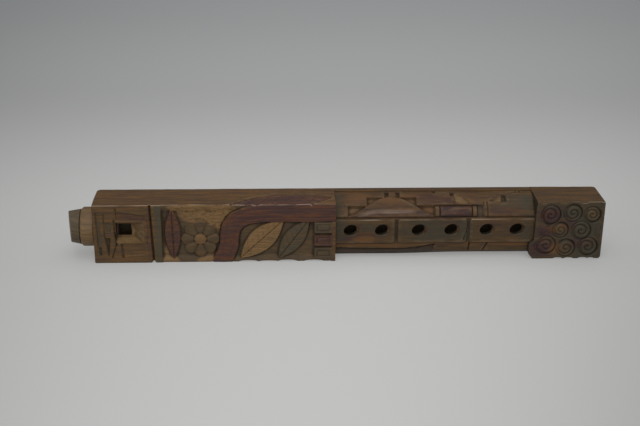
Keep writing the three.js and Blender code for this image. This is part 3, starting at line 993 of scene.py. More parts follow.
@dataclass
class PanelCarving(Carving):
    """A leaf scroll on a cut-back ground."""

    ground: float = 2.6
    groove_width: float = 2.3
    groove_depth: float = 2.5
    stem: tuple[Point, ...] = (
        (54, -2), (57, 6), (60, 14), (60.5, 22), (62, 29.5), (66.5, 35.5), (74, 39.5), (86, 41.2),
        (104, 41.4), (124, 41.0), (146, 41.4),
    )
    stem_half: float = 7.5
    bites: tuple[Point, ...] = ((75.0, 1.2), (91.0, 0.8), (106.0, 1.3), (127.0, 1.1))
    top_rib: tuple[Point, Point] = ((56, -6.0), (141, 15.0))
    block_feet: Triple = (2.0, 13.0, 24.0)

    def rosette(self, face: Relief, at: Plane, centre: Point, radius: float) -> None:
        """Raises an eight-petalled rosette with a boss.

        Args:
            face: the front of the casing.
            at: its points, seen from the panel's start.
            centre: the rosette's centre.
            radius: its reach.
        """
        dx, dz = at.x - centre[0], at.z - centre[1]
        reach, lobes = np.hypot(dx, dz), np.abs(np.cos(4.0 * np.arctan2(dz, dx)))
        disc = inside(reach - radius * (0.80 + 0.20 * lobes**0.7), 1.0)
        dome = -0.4 - 1.1 * (1 - lobes) ** 1.5 - 0.6 * (reach / radius) ** 2
        face.settle(disc, dome, Tint.OLIVE, 0.55)
        boss = radius * 0.3
        dome = 0.1 - 1.3 * (reach / boss) ** 2
        face.settle(inside(reach - boss, 0.9), dome, Tint.PALE, 0.55)
        face.groove(np.abs(reach - radius * 0.34), 1.3, 0.9)

    def leaf(
        self, face: Relief, at: Plane, rib: tuple[Point, Point], width: float, tint: Tint
    ) -> None:
        """Raises a leaf with a rib and side veins.

        Args:
            face: the front of the casing.
            at: its points, seen from the panel's start.
            rib: the leaf's foot and tip.
            width: its greatest width.
            tint: its colour.
        """
        distance = at.leaf(*rib, width)
        roll = 0.5 * (np.abs(at.rib(*rib)[1]) / (width / 2)) ** 2
        face.settle(inside(distance, 1.0), -0.15 - roll, tint, 0.85)
        face.groove(at.path(*rib), 1.3, 0.9)
        face.veins(at, rib, (0.8, 5.6, 0.45), inside(distance + 1.2, 0.8))

    def carve(self, face: Relief) -> None:
        """Cuts the panel's front.

        Args:
            face: the front.
        """
        at = face.seen_from(self.start)
        level = ease((47.6 - at.z) / 6.0) * ease((at.z - 1.4) / 5.0)
        ground = inside(at.box((7.6, -9.0), (141.0, 60.0)), 1.0)
        face.sink(ground, 0.7 + (self.ground - 0.7) * level)
        rough_part = ground * inside(at.leaf((12, 47), (76, 36), 26), 4.0)
        rough = 0.35 * at.noise((1.7, 1.3), 11) + 0.25 * at.noise((3.4, 2.0), 12)
        face.level += rough_part * rough
        face.paint(Tint.OLIVE, ground, 0.55)
        face.paint(Tint.PALE, rough_part, 0.85)
        face.paint(Tint.OLIVE, inside(np.abs(at.x - 4.8) - 2.6, 1.0), 1.0)
        face.paint(Tint.PALE, inside(at.polygon((8, 0), (8, 18), (22, 0)), 1.2), 0.95)
        face.paint(Tint.PALE, inside(at.leaf((34, 1), (58, 6), 9), 1.2), 0.9)
        self.leaf(face, at, ((16.5, 3.0), (15.5, 45.5)), 12.5, Tint.RED)
        self.rosette(face, at, (37.5, 19.8), 15.2)
        self.leaf(face, at, ((69, 3.5), (103, 35.5)), 19.0, Tint.PALE)
        self.leaf(face, at, ((99, 3.0), (123, 35.5)), 15.5, Tint.OLIVE)
        for foot, tint in zip(self.block_feet, (Tint.OLIVE, Tint.RED, Tint.OLIVE)):
            block = at.box((127.0, foot), (141.6, foot + 9.6), 0.6)
            face.settle(inside(block, 0.9), -0.2, tint, 0.8)
            face.groove(np.abs(block + 2.4), 1.1, 0.8)
        stem = at.path(*self.stem)
        roll = 0.35 * (stem / self.stem_half) ** 2
        face.settle(inside(stem - self.stem_half, 1.1), -0.1 - roll, Tint.RED)
        face.groove(np.abs(stem - self.stem_half - 0.3), 1.4, 0.7)
        face.groove(np.abs(stem - 3.6), 1.0, 0.35)
        face.groove(np.abs(at.x + 0.037 * (at.z - 13.5)), self.groove_width, self.groove_depth)

    def scallops(self) -> list[Scallop]:
        """The groove's notch, and bites along the panel's bottom edge."""
        bites = [Scallop(self.start + middle, 15.0, depth) for middle, depth in self.bites]
        return [Scallop(self.start + 0.4, 3.2, 1.2), *bites]

    def carve_top(self, face: Relief) -> None:
        """Cuts the long leaf that laps over on to the top.

        Args:
            face: the top.
        """
        at = face.seen_from(self.start)
        leaf = at.leaf(*self.top_rib, 32.0)
        face.paint(Tint.RED, inside(leaf, 1.4), 1.0)
        face.sink(inside(leaf, 1.0), 0.3)
        face.groove(np.abs(leaf), 1.8, 1.4)
        near = inside(leaf + 1.4, 0.8)
        face.groove(np.abs(at.rib(*self.top_rib)[1]) + 10.0 * (1.0 - near), 1.4, 0.8)
        face.veins(at, self.top_rib, (0.9, 11.0, 0.5), near)


@dataclass
class TailCarving(Carving):
    """Scrolls and buds on the tail block's front."""

    scrolls: tuple[tuple[float, float, float, int], ...] = (
        (13.0, 38.0, 8.2, 1), (31.0, 39.5, 7.2, -1), (46.5, 38.0, 6.6, 1), (22.0, 25.0, 6.4, -1),
        (38.5, 24.5, 7.8, 1), (11.5, 12.0, 7.6, 1), (27.5, 9.5, 7.4, -1), (45.0, 10.5, 7.8, 1),
    )
    buds: tuple[tuple[Point, Point, float], ...] = (
        ((4.5, 22.0), (14.5, 29.0), 7.0), ((51.5, 19.0), (52.5, 33.0), 6.0),
    )
    bites: tuple[Triple, ...] = (
        (22.0, 7.5, 1.05), (30.5, 7.5, 1.05), (42.0, 7.5, 1.05), (48.5, 5.0, 0.8),
    )
    crests: Triple = (6.0, 22.4, 39.0)
    toe: tuple[Point, ...] = (
        (0.0, 1.4), (4.6, -2.2), (13.0, -2.2), (16.5, 1.4), (44.0, 1.7), (49.0, 2.3),
    )
    stains: ClassVar[Stains] = {
        Tint.RED: (
            (12.0, 38.0, 12.0, 7.5, 1.0), (9.0, 24.0, 10.0, 6.0, 1.0), (28.0, 30.0, 7.0, 5.0, 0.8),
            (9.0, 9.0, 13.0, 8.0, 1.0), (38.0, 14.0, 9.0, 5.0, 0.75),
        ),
        Tint.PALE: (
            (20.0, 27.0, 7.0, 4.0, 0.25), (20.0, 9.0, 6.0, 6.0, 0.25), (46.0, 40.0, 4.0, 5.0, 0.25),
        ),
        Tint.OLIVE: (
            (42.0, 26.0, 12.0, 9.0, 0.5), (31.0, 39.0, 8.0, 6.0, 0.45), (45.0, 6.0, 10.0, 6.0, 0.6),
        ),
    }

    def lean(self, level: Array) -> Array:
        """The toe that juts out below, undercut to the underside."""
        return np.interp(level, *zip(*self.toe))

    def scallops(self) -> list[Scallop]:
        """Bites along the tail's bottom and top edges.

        Returns:
            The bites.
        """
        low = [Scallop(self.start + place, width, depth) for place, width, depth in self.bites]
        high = [Scallop(self.start + crest, 7.0, 1.3, at_top=True) for crest in self.crests]
        return [*low, *high]

    def carve(self, face: Relief) -> None:
        """Cuts the tail's front.

        Args:
            face: the front.
        """
        at = face.seen_from(self.start)
        face.sink(inside(at.box((-9.0, -9.0), (54.0, 60.0), 1.5), 1.6), 1.1)
        for middle, level, radius, turn in self.scrolls:
            dx, dz, pitch = at.x - middle, at.z - level, radius * 0.52
            reach = np.hypot(dx, dz)
            disc = inside(reach - radius, 1.2)
            face.settle(disc, 0.2 - 1.2 * (reach / radius) ** 2)
            angle = turn * np.arctan2(dz, dx) / (2 * np.pi)
            coil = np.abs((reach / pitch - angle + 0.5) % 1.0 - 0.5) * pitch
            face.level -= disc * 1.3 * np.clip(1.0 - coil / 1.2, 0.0, 1.0)
            face.groove(np.abs(reach - radius), 1.7, 0.85)
        for foot, tip, width in self.buds:
            bud = at.leaf(foot, tip, width)
            face.settle(inside(bud, 1.0), -0.3)
            face.groove(np.abs(bud + 1.2), 1.0, 0.5)
        face.paint(Tint.OLIVE, inside(at.box((-6, -5), (60, 55)), 2.0), 0.70)
        face.soak(at, self.stains)


@dataclass
class GripSection:
    """The grip's section in depth and level, the same as its solid's."""

    sizes: Sizes
    setback: float = 4.5
    step: float = 1.3
    foot: float = 13.4
    strip: float = 20.4
    bulge: float = 4.0
    ledge: float = 6.7
    ledge_step: float = 0.9
    apron_foot: float = 5.6
    apron_lean: float = 1.4
    keel: float = 22.0
    under: float = 1.4

    @property
    def face(self) -> float:
        """Depth of the ground that the strip stands on."""
        return self.sizes.front + self.setback + self.step

    def front_path(self) -> Array:
        """Corners from the keel up to the shoulder's foot.

        Returns:
            Their depths and levels.
        """
        keel, apron = self.sizes.back - self.keel, self.face + self.apron_lean
        foot, head = (self.face, self.foot), (self.face, self.foot + self.strip)
        return np.array([(keel, self.under), (apron, self.apron_foot), foot, head])

    def slope_path(self) -> Array:
        """Points up the bulging shoulder.

        Returns:
            Their depths and levels.
        """
        foot = np.array([self.face, self.foot + self.strip])
        head = np.array([self.sizes.back - self.ledge, self.sizes.height - self.ledge_step])
        run = (head - foot) / np.linalg.norm(head - foot)
        crown = (foot + head) / 2 + np.array([-run[1], run[0]]) * 2 * self.bulge
        t = np.linspace(0.0, 1.0, 60)[:, None]
        return (1 - t) ** 2 * foot + 2 * t * (1 - t) * crown + t**2 * head


@dataclass
class GripCarving:
    """The strip with the holes, the apron below it and the stepped ornament on the shoulder.

    Stations are millimetres from the grip's start, and the shoulder's heights shares of its slope.
    """

    section: GripSection
    slope: float
    gaps: Point = (48.6, 105.9)
    gap_width: float = 2.4
    corner: float = 2.2
    pocket: float = 1.9
    hull: tuple[Point, ...] = (
        (-4, 9.6), (4, 8.8), (12, 7.9), (24, 7.3), (50, 7.2), (64, 8.0), (79, 10.6),
    )
    steps: tuple[Point, ...] = (
        (10.2, 0.06), (10.2, 0.37), (25.5, 0.37), (25.5, 0.69), (39.8, 0.69), (39.8, 0.75),
        (51.6, 0.75), (51.6, 0.69), (64.8, 0.69), (64.8, 0.385), (78.7, 0.385), (78.7, 0.06),
    )
    ribs: Cuts = (
        (1.6, 1.4, (149.2, 0.92), (149.2, 0.98)),
        (1.4, 0.9, (118.6, 0.05), (118.6, 0.5)),
        (1.4, 0.9, (121.4, 0.05), (121.4, 0.5)),
    )
    chips: tuple[tuple[Point, ...], ...] = (
        ((81.2, 0.86), (81.2, 1.0), (94.0, 0.80), (92.8, 0.74)),
        ((95.4, 0.46), (96.0, 0.86), (100.5, 0.84), (108.5, 0.42)),
        ((123.4, 0.53), (133.6, 0.78), (132.8, 0.47)),
        ((136.6, 0.78), (146.6, 1.0), (148.6, 0.90)),
    )
    notches: tuple[tuple[Point, Point], ...] = (
        ((78.6, 0.90), (81.2, 1.0)), ((92.8, 0.74), (95.8, 0.9)), ((133.6, 0.5), (136.9, 0.77)),
    )
    stains: ClassVar[Stains] = {
        Tint.RED: (
            (44, 0.58, 18, 0.17, 0.35), (19, 0.66, 13, 0.26, 0.45), (40, 0.16, 30, 0.14, 0.25),
            (78, 0.68, 16, 0.22, 0.75), (104, 0.62, 14, 0.22, 0.4), (136, 0.2, 15, 0.14, 0.55),
            (72, 0.25, 7, 0.2, 0.35),
        ),
        Tint.PALE: ((19.0, 0.72, 11.0, 0.20, 0.32), (44.0, 0.60, 16.0, 0.15, 0.26)),
        Tint.OLIVE: (
            (2, 0.4, 5, 0.6, 0.6), (115, 0.3, 3.6, 0.4, 0.55), (143, 0.5, 18, 0.3, 0.62),
            (154, 0.4, 4, 0.6, 0.45),
        ),
    }
    strip_stains: ClassVar[Stains] = {
        Tint.RED: (
            (20, 18.5, 16, 5, 0.85), (90, 31, 14, 3, 0.3), (128, 30, 16, 4, 0.35),
        ),
        Tint.PALE: ((24.0, 17.0, 10.0, 3.0, 0.25),),
        Tint.OLIVE: (
            (4, 24, 7, 12, 0.6), (27, 26, 7, 7, 0.45), (76, 24, 28, 12, 0.6),
            (103, 24, 6, 12, 0.7), (152, 22, 5, 12, 0.55),
        ),
    }

    def seen(self, face: Relief) -> Plane:
        """A face's points, seen from the grip's start."""
        return face.seen_from(self.section.sizes.grip_start)

    def up(self, *corners: Point) -> list[Point]:
        """Turns shares of the slope into millimetres."""
        return [(x, share * self.slope) for x, share in corners]

    def undercut(self, at: Plane) -> tuple[Array, Array]:
        """The curved line that the apron is cut back under, and the part below it.

        Args:
            at: the front's points.

        Returns:
            Distance from the line, and a mask of the part below.
        """
        below = at.polygon(*self.hull, (79, -6), (-4, -6))
        return at.path(*self.hull[1:]), inside(below, 1.0)

    def carve_strip(self, face: Relief) -> None:
        """Raises the three panels of the strip, and cuts the apron's notches.

        Args:
            face: the front of the grip, its second place being the level.
        """
        at, section = self.seen(face), self.section
        edges = [-8.0, *self.gaps, section.sizes.grip + 8.0]
        for left, right in zip(edges, edges[1:]):
            low = (left + self.gap_width / 2, section.foot)
            high = (right - self.gap_width / 2, section.foot + section.strip)
            panel = at.box(low, high, self.corner)
            face.level += section.step * inside(panel, 0.9)
            face.level += 0.12 * inside(np.abs(panel + 0.9) - 0.3, 0.7)
        line, below = self.undercut(at)
        face.sink(below * ease((at.z - 5.4) / 1.6), 1.1)
        face.groove(line, 1.6, 1.1)
        face.level += 0.8 * ease((6.4 - at.z) / 1.2) * ease((96.0 - at.x) / 50.0)
        notches = (
            (2.0, 1.2, (102.6, 16.0), (105.0, 24.0)), (2.6, 1.5, (66.0, 7.8), (79.5, 10.8)),
            (1.5, 1.4, (107.6, 12.6), (107.0, 5.4)), (1.7, 1.5, (121.8, 12.0), (118.6, 4.6)),
        )
        face.grooves(at, notches)
        face.paint(Tint.OLIVE, inside(section.foot - at.z, 1.0), 0.30)
        face.soak(at, self.strip_stains)
        apron = inside(at.z - section.foot + 1.0, 1.0) * (1.0 - below)
        band = apron * inside(9.6 - at.z, 2.0)
        face.paint(Tint.OLIVE, apron, 0.35)
        face.tints[Tint.PALE] += band * (0.30 + 0.3 * at.noise((12.0, 1.2), 45))
        face.tints[Tint.RED] += band * 0.35
        # Painted shade: the apron below the undercut line darkened with olive and red.
        face.paint(Tint.OLIVE, below, 1.0)
        face.tints[Tint.RED] += 0.5 * below

    def carve_shoulder(self, face: Relief) -> None:
        """Cuts the stepped pocket with its hill, the bead and the chips above them.

        Args:
            face: the shoulder, its second place being the way up the slope from the strip.
        """
        at, slope = self.seen(face), self.slope
        share = at.z / slope
        pocket = inside(at.polygon(*self.up(*self.steps)), 0.8)
        face.sink(pocket, self.pocket, Tint.PALE, 0.7)
        swell = 1.0 - np.cos(np.pi * np.clip(np.abs(at.x - 44.8) / 38.0, 0.0, 1.0))
        hill = inside((share - (0.735 - 0.33 * swell)) * slope, 1.4)
        hill = hill * inside(np.abs(at.x - 44.6) - 34.2, 1.2)
        face.settle(hill, -0.05 - 0.5 * np.clip(share, 0, 1), Tint.RED, 0.22)
        for slot in (41.7, 50.6):
            ends = self.up((slot - 1.5, 0.74), (slot + 1.5, 0.985))
            face.sink(inside(at.box(*ends, 0.2), 0.8), 1.6)
        self.carve_bead(face, at)
        face.grooves(at, [(width, depth, *self.up(*ends)) for width, depth, *ends in self.ribs])
        face.soak(at, self.stains, slope)
        for chip in self.chips:
            face.sink(inside(at.polygon(*self.up(*chip)), 0.9), 1.3, Tint.PALE)
        for notch in self.notches:
            face.sink(inside(at.box(*self.up(*notch), 0.2), 0.8), 1.7)
        face.groove(np.abs(at.z - 0.9), 1.8, 1.0)

    def paint_hill_sheen(self, face: Relief) -> None:
        """Paints a pale band low on the hill as painted sheen.

        Args:
            face: the shoulder.
        """
        at = self.seen(face)
        rise = (0.06 + 0.15 * ease((at.x - 9.0) / 26.0)) * self.slope
        share = ease((at.x - 8.0) / 26.0) * ease((74.0 - at.x) / 18.0)
        patchy = 0.56 + 0.10 * at.noise((11.0, 1.6), 44)
        face.wear_and_highlight(np.abs(at.z - rise), 0.07 * self.slope, share * patchy)

    def carve_bead(self, face: Relief, at: Plane) -> None:
        """Rounds the lying bead with its two collared ends.

        Args:
            face: the shoulder.
            at: its points, seen from the grip's start.
        """
        step = inside(at.box(*self.up((78.7, 0.045), (118.0, 0.40)), 0.4), 0.9)
        face.sink(step, 1.5)
        middle, half = 0.215 * self.slope, 0.165 * self.slope
        round_way = np.sqrt(np.clip(1.0 - ((at.z - middle) / half) ** 2, 0.0, 1.0))
        bead = inside(at.box(*self.up((83.4, 0.045), (109.0, 0.385)), 0.5), 0.7)
        face.settle(bead, -1.5 + 2.0 * round_way, Tint.RED)
        for ring in (81.2, 111.2):
            collar = inside(at.box(*self.up((ring - 1.9, 0.05), (ring + 1.9, 0.38)), 0.8), 0.8)
            face.settle(collar, -1.5 + 1.8 * round_way, Tint.PALE, 0.35)
            face.groove(np.abs(np.abs(at.x - ring) - 2.0) + 10.0 * (1 - step), 0.9, 0.7)


def walk(path: Array, lengths: Array) -> tuple[Array, Array]:
    """Places points along a path, with the outward direction at each.

    Args:
        path: corners in depth and level, with the solid on the right of the way walked.
        lengths: how far along each point lies.

    Returns:
        The points and their outward directions.
    """
    steps = np.diff(path, axis=0)
    spans = np.linalg.norm(steps, axis=1)
    marks = np.concatenate([[0.0], np.cumsum(spans)])
    points = np.stack([np.interp(lengths, marks, path[:, k]) for k in (0, 1)], axis=1)
    ways = steps / spans[:, None]
    centres = (marks[:-1] + marks[1:]) / 2
    way = np.stack([np.interp(lengths, centres, ways[:, k]) for k in (0, 1)], axis=1)
    way /= np.linalg.norm(way, axis=1)[:, None]
    return points, np.stack([-way[:, 1], way[:, 0]], axis=1)


def path_length(path: Array) -> float:
    """The length of a path through its corners."""
    return float(np.linalg.norm(np.diff(path, axis=0), axis=1).sum())


def lift(stations: Array, points: Array, ways: Array, level: Array) -> Array:
    """Carries a section along its stations, each of its points moved its own way by its level."""
    moved = points[None] + ways[None] * level[..., None]
    return np.concatenate([np.broadcast_to(stations, level.shape)[..., None], moved], axis=-1)


@dataclass
class EdgeNicks:
    """Small dents scattered along a worn edge, by a node tree with fixed seeds."""

    least: Triple = (0.45, 0.30, 0.30)
    most: Triple = (1.50, 0.75, 0.75)
    stray: Triple = (1.1, 0.12, 0.12)
    turn: Triple = (0.4, 0.4, 0.4)
    tree: bpy.types.NodeTree = field(init=False)

    def __post_init__(self) -> None:
        """Makes the tree, from two ends, a count, a seed and a material to a mesh of dents."""
        self.tree = bpy.data.node_groups.new("edge_nicks", "GeometryNodeTree")
        kinds = {"First": "Vector", "Last": "Vector", "Count": "Int", "Seed": "Int"}
        kinds |= {"Material": "Material", "Geometry": "Geometry"}
        for label, kind in kinds.items():
            way = "OUTPUT" if label == "Geometry" else "INPUT"
            self.tree.interface.new_socket(label, in_out=way, socket_type=f"NodeSocket{kind}")
        given = self.add("NodeGroupInput")
        line = self.add("GeometryNodeMeshLine", mode="END_POINTS")
        ball = self.add("GeometryNodeMeshIcoSphere")
        ball.inputs["Radius"].default_value = MM
        ball.inputs["Subdivisions"].default_value = 2
        stray = Vector(self.stray) * MM
        shift = self.spread(given, -stray, stray, 1)
        size = self.spread(given, self.least, self.most, 2)
        turn = self.spread(given, -Vector(self.turn), self.turn, 3)
        move = self.add("GeometryNodeSetPosition")
        place = self.add("GeometryNodeInstanceOnPoints")
        real = self.add("GeometryNodeRealizeInstances")
        paint = self.add("GeometryNodeSetMaterial")
        links = [
            (given, "First", line, "Start Location"),
            (given, "Last", line, "Offset"),
            (given, "Count", line, "Count"),
            (line, "Mesh", move, "Geometry"),
            (shift, 0, move, "Offset"),
            (move, "Geometry", place, "Points"),
            (ball, "Mesh", place, "Instance"),
            (turn, 0, place, "Rotation"),
            (size, 0, place, "Scale"),
            (place, "Instances", real, "Geometry"),
            (real, "Geometry", paint, "Geometry"),
            (given, "Material", paint, "Material"),
            (paint, "Geometry", self.add("NodeGroupOutput"), "Geometry"),
        ]
        for source, output, target, entry in links:
            self.tree.links.new(source.outputs[output], target.inputs[entry])

    def add(self, kind: str, **settings: str) -> bpy.types.Node:
        """Adds one node with its settings.

        Args:
            kind: the node's type.
            **settings: its properties.

        Returns:
            The node.
        """
        node = self.tree.nodes.new(kind)
        for key, setting in settings.items():
            setattr(node, key, setting)
        return node

    def spread(
        self, given: bpy.types.Node, low: Sequence[float], high: Sequence[float], step: int
    ) -> bpy.types.Node:
        """A random vector for each point.

        Args:
            given: the tree's input node, which has the seed.
            low: the least of each number.
            high: the most of each number.
            step: sets one spread apart from the next.

        Returns:
            The node that draws it.
        """
        node = self.add("FunctionNodeRandomValue", data_type="FLOAT_VECTOR")
        node.inputs[0].default_value, node.inputs[1].default_value = low, high
        seed = self.add("ShaderNodeMath", operation="ADD")
        seed.inputs[1].default_value = 100.0 * step
        self.tree.links.new(given.outputs["Seed"], seed.inputs[0])
        self.tree.links.new(seed.outputs[0], node.inputs["Seed"])
        return node

    def scatter(
        self, ends: tuple[Vector, Vector], count: int, seed: int, material: bpy.types.Material
    ) -> bpy.types.Object:
        """Runs the tree along one edge.

        Args:
            ends: the edge's ends in millimetres.
            count: how many dents there are.
            seed: picks their places and sizes.
            material: the dents' finish.

        Returns:
            An object with all the dents.
        """
        holder = add_object("nicks", bpy.data.meshes.new("nicks"))
        run = holder.modifiers.new("nicks", "NODES")
        run.node_group = self.tree
        first, last = (tuple(end * MM) for end in ends)
        values = {"First": first, "Last": last, "Count": count, "Seed": seed, "Material": material}
        for item in self.tree.interface.items_tree:
            if item.in_out == "INPUT":
                run[item.identifier] = values[item.name]
        bake_modifiers(holder)
        return holder


@dataclass
class CarvedCasing:
    """The hardwood casing, carved on its front and shoulder, with its sizes in millimetres."""

    sizes: Sizes
    spacing: Spacing = Spacing()
    arris: float = 0.9
    end_corner: float = 3.2
    end_edge: float = 0.7
    lap: float = 1.2
    toe_lap: float = 4.6
    toe_fade: float = 14.0
    fade: float = 9.0
    mouth_corner: float = 4.0
    mouth_bow: float = 0.3
    bow_level: float = 40.5
    bow_rise: float = 7.0
    nick_inset: float = 0.35
    facing: float = 0.35
    # Olive tint and high hollow share for the faces of inner ends, which darken the tail's end face
    # as painted shade.
    end_shade_tint: Colour = (0.0, 0.0, 0.9, 0.92)
    plain_tint: Colour = (0.0, 0.0, 0.0, 0.5)
    cap_shares: tuple[float, ...] = (0.47, 0.65, 0.80, 0.92, 0.995)
    cut_woods: tuple[PlainWood, ...] = (
        PlainWood("bare_wood", (0.105, 0.058, 0.022, 1), (0.235, 0.145, 0.060, 1)),
        # The next wood is dark, painted shade in the holes and on walls that face away from the
        # mouth.
        PlainWood(
            "painted_shade_wood", (0.030, 0.023, 0.014, 1), (0.072, 0.053, 0.031, 1),
            stain=0.5, bore_shade=12.5,
        ),
        # The next wood is end grain, also painted shade on walls that face the mouth.
        PlainWood("end_grain_and_shade", (0.066, 0.037, 0.015, 1), (0.150, 0.092, 0.040, 1)),
    )
    wood: bpy.types.Material = field(default_factory=lambda: CarvedHardwood().build())
    pieces: list[bpy.types.Object] = field(default_factory=list)

    def rounding(self, gap: Array, radius: float = arris) -> Array:
        """How far a rounded edge draws in, at a distance from where the faces would meet."""
        inner = np.clip(radius - gap, 0.0, radius)
        return radius - np.sqrt(np.maximum(radius**2 - inner**2, 0.0))

    def plain_tints(self, stations: Array, around: int) -> Array:
        """The tints of a stretch of uncarved points."""
        return np.tile(self.plain_tint, (len(stations), around, 1))

    def block(
        self,
        name: str,
        carvings: Sequence[Carving],
        end: float,
        seed: int,
        open_ends: tuple[bool, bool],
        edge_wear_and_highlight: float,
    ) -> bpy.types.Object:
        """Builds a stretch of the casing that has the full square section.

        The rows of points that run round it are the front's, going up, then the top's, the back's
        and the underside's. Their sizes at each station stand in columns.

        Args:
            name: the piece's name.
            carvings: what is cut into it, the first one giving its first station.
            end: its last station.
            seed: picks its unevenness.
            open_ends: which of its two ends are the casing's own ends.
            edge_wear_and_highlight: how far its edges are bare from rubbing and painted pale as a
                highlight, from 0 to 1.

        Returns:
            The new piece.
        """
        sizes, gap, start = self.sizes, self.spacing, carvings[0].start
        stations = gap.stations(start, end)[:, None]
        height, depth = sizes.height, sizes.back - sizes.front
        top_share, plain_share = gap.shares(depth, gap.top), gap.shares(depth, gap.plain)
        inset = self.arris * (1.0 - 1.0 / math.sqrt(2.0))
        top = Relief(*np.meshgrid(stations[:, 0], top_share * depth, indexing="ij"))
        for carving in carvings:
            carving.carve_top(top)
        top.weather(seed + 5, 0.10)
        # The top's front arris paled, as rubbing and as painted highlight.
        top.wear_and_highlight(top.z, 0.38, edge_wear_and_highlight + 0.45 * top.swings(7.0, seed + 2))
        edge, round_back, round_foot = np.zeros((3, len(stations), 1))
        for is_open, near, corner in zip(
            open_ends, (stations - start, end - stations), (self.mouth_corner, self.end_corner)
        ):
            edge += is_open * self.rounding(near, self.end_edge)
            round_back += is_open * self.rounding(near, corner)
        if open_ends[1]:
            round_foot += self.rounding(end - stations, self.end_corner)
        scallops = [scallop for carving in carvings for scallop in carving.scallops()]
        foot, crest = (bitten(scallops, at_top, stations) for at_top in (False, True))
        floor = np.maximum(edge, round_foot)
        lid, sole = height + top.level[:, :1] - edge - crest, floor + foot
        rows = (height - 2 * inset) * gap.shares(height, gap.face)[None]
        levels = rows + inset + sole * ease(1.0 - rows / self.fade)
        levels -= (height - lid) * ease(1.0 - (rows[:, -1:] - rows) / self.fade)
        front = Relief(stations + 0 * levels, levels)
        for carving in carvings:
            carving.carve(front)
        front.weather(seed)
        to_lid, to_sole = lid - levels, levels - sole
        # The front's top arris paled, as rubbing and as painted highlight.
        front.wear_and_highlight(to_lid, 0.5, edge_wear_and_highlight + 0.45 * front.swings(7.0, seed + 2))
        # Painted shade: darker along the front's bottom edge.
        front.paint_shade(0.5 + 0.42 * inside(to_sole - 0.8, 0.8))
        draw = self.rounding(to_lid) + self.rounding(to_sole)
        front_rows = points_at(stations, sizes.front - front.level + edge + draw, levels)
        face = sizes.front - front.level[:, -1:] + edge
        wall = sizes.back - np.maximum(edge, round_back)
        depths = face + inset + (wall - face - 2 * inset) * top_share
        draw = self.rounding(depths - face) + self.rounding(wall - depths)
        draw += crest * ease(1.0 - (depths - face) / self.fade)
        top_rows = points_at(stations, depths, height + top.level - edge - draw)
        corner = top_rows[:, -1:, 2]
        levels = corner + (floor + inset - corner) * gap.shares(height, gap.plain)
        draw = self.rounding(levels - floor), self.rounding(corner + inset - levels)
        back_rows = points_at(stations, wall - draw[0] - draw[1], levels)
        first, last = front_rows[:, :1, 1], back_rows[:, -1:, 1]
        depths = last + (first - last) * plain_share
        draw = self.rounding(np.minimum(depths - first, last - depths) + inset)
        draw += foot * ease(1.0 - (depths - first) / self.fade)
        foot_rows = points_at(stations, depths, floor + draw)
        front_rows[:, -1], front_rows[:, 0] = top_rows[:, 0], foot_rows[:, -1]
        sides = (front_rows, top_rows, back_rows, foot_rows)
        rings = np.concatenate([side[:, :-1] for side in sides], axis=1)
        plain = self.plain_tints(stations, back_rows.shape[1] + foot_rows.shape[1] - 2)
        tints = [front.stacked()[:, :-1], top.stacked()[:, :-1], plain]
        tints = np.concatenate(tints, axis=1)
        near = 1.0 - ease((stations - start) / self.toe_fade)
        rings[..., 0] += carvings[0].lean(rings[..., 2]) * near
        if open_ends[0]:
            share = np.clip((rings[..., 1] - sizes.front) / depth, 0.0, 1.0)
            bow = np.sin(np.pi * share) * ease((rings[..., 2] - self.bow_level) / self.bow_rise)
            rings[..., 0] -= self.mouth_bow * bow * near
        else:
            # The inner end face takes the darkening end tint: painted shade.
            caps = [self.cap_ring(rings[0], carvings[0], share) for share in self.cap_shares]
            rings = np.concatenate([np.stack(caps), rings])
            caps = np.tile(self.end_shade_tint, (len(caps), tints.shape[1], 1))
            tints = np.concatenate([caps, tints])
        return ring_mesh(name, rings, tints)

    def cap_ring(self, ring: Array, carving: Carving, share: float) -> Array:
        """Draws a stretch's first ring in towards the bore, on the face of its end.

        Args:
            ring: the first ring's points.
            carving: tells how the end leans.
            share: how much of the ring's size is left.

        Returns:
            The inner ring's points.
        """
        middle = np.array([carving.start, 0.0, self.sizes.bore_height])
        inner = middle + (ring - middle) * share
        inner[:, 0] = carving.start + carving.lean(inner[:, 2])
        return inner

    def grip(self, name: str, tail: Carving) -> bpy.types.Object:
        """Builds the cut-back stretch with the finger holes.

        Args:
            name: the piece's name.
            tail: tells how the tail's end leans, which the grip runs into.

        Returns:
            The new piece.
        """
        sizes, section = self.sizes, GripSection(self.sizes)
        stations = self.spacing.stations(sizes.grip_start - self.lap, tail.start + self.toe_lap)
        front_path, slope_path = section.front_path(), section.slope_path()
        slope = path_length(slope_path)
        carving = GripCarving(section, slope)
        marks = np.arange(0.0, path_length(front_path), self.spacing.face)
        points, ways = walk(front_path, marks)
        front = Relief(*np.meshgrid(stations, points[:, 1], indexing="ij"))
        carving.carve_strip(front)
        front.weather(31, 0.10)
        # Painted shade: darker below the undercut, along its line and near the underside.
        line, below = carving.undercut(carving.seen(front))
        keel = inside(front.z - section.under - 2.0, 1.6)
        dark = np.maximum.reduce([0.62 * below, inside(line - 0.5, 0.8), keel])
        front.paint_shade(0.42 + 0.5 * dark)
        near_gap = [np.abs(front.x - sizes.grip_start - place) for place in carving.gaps]
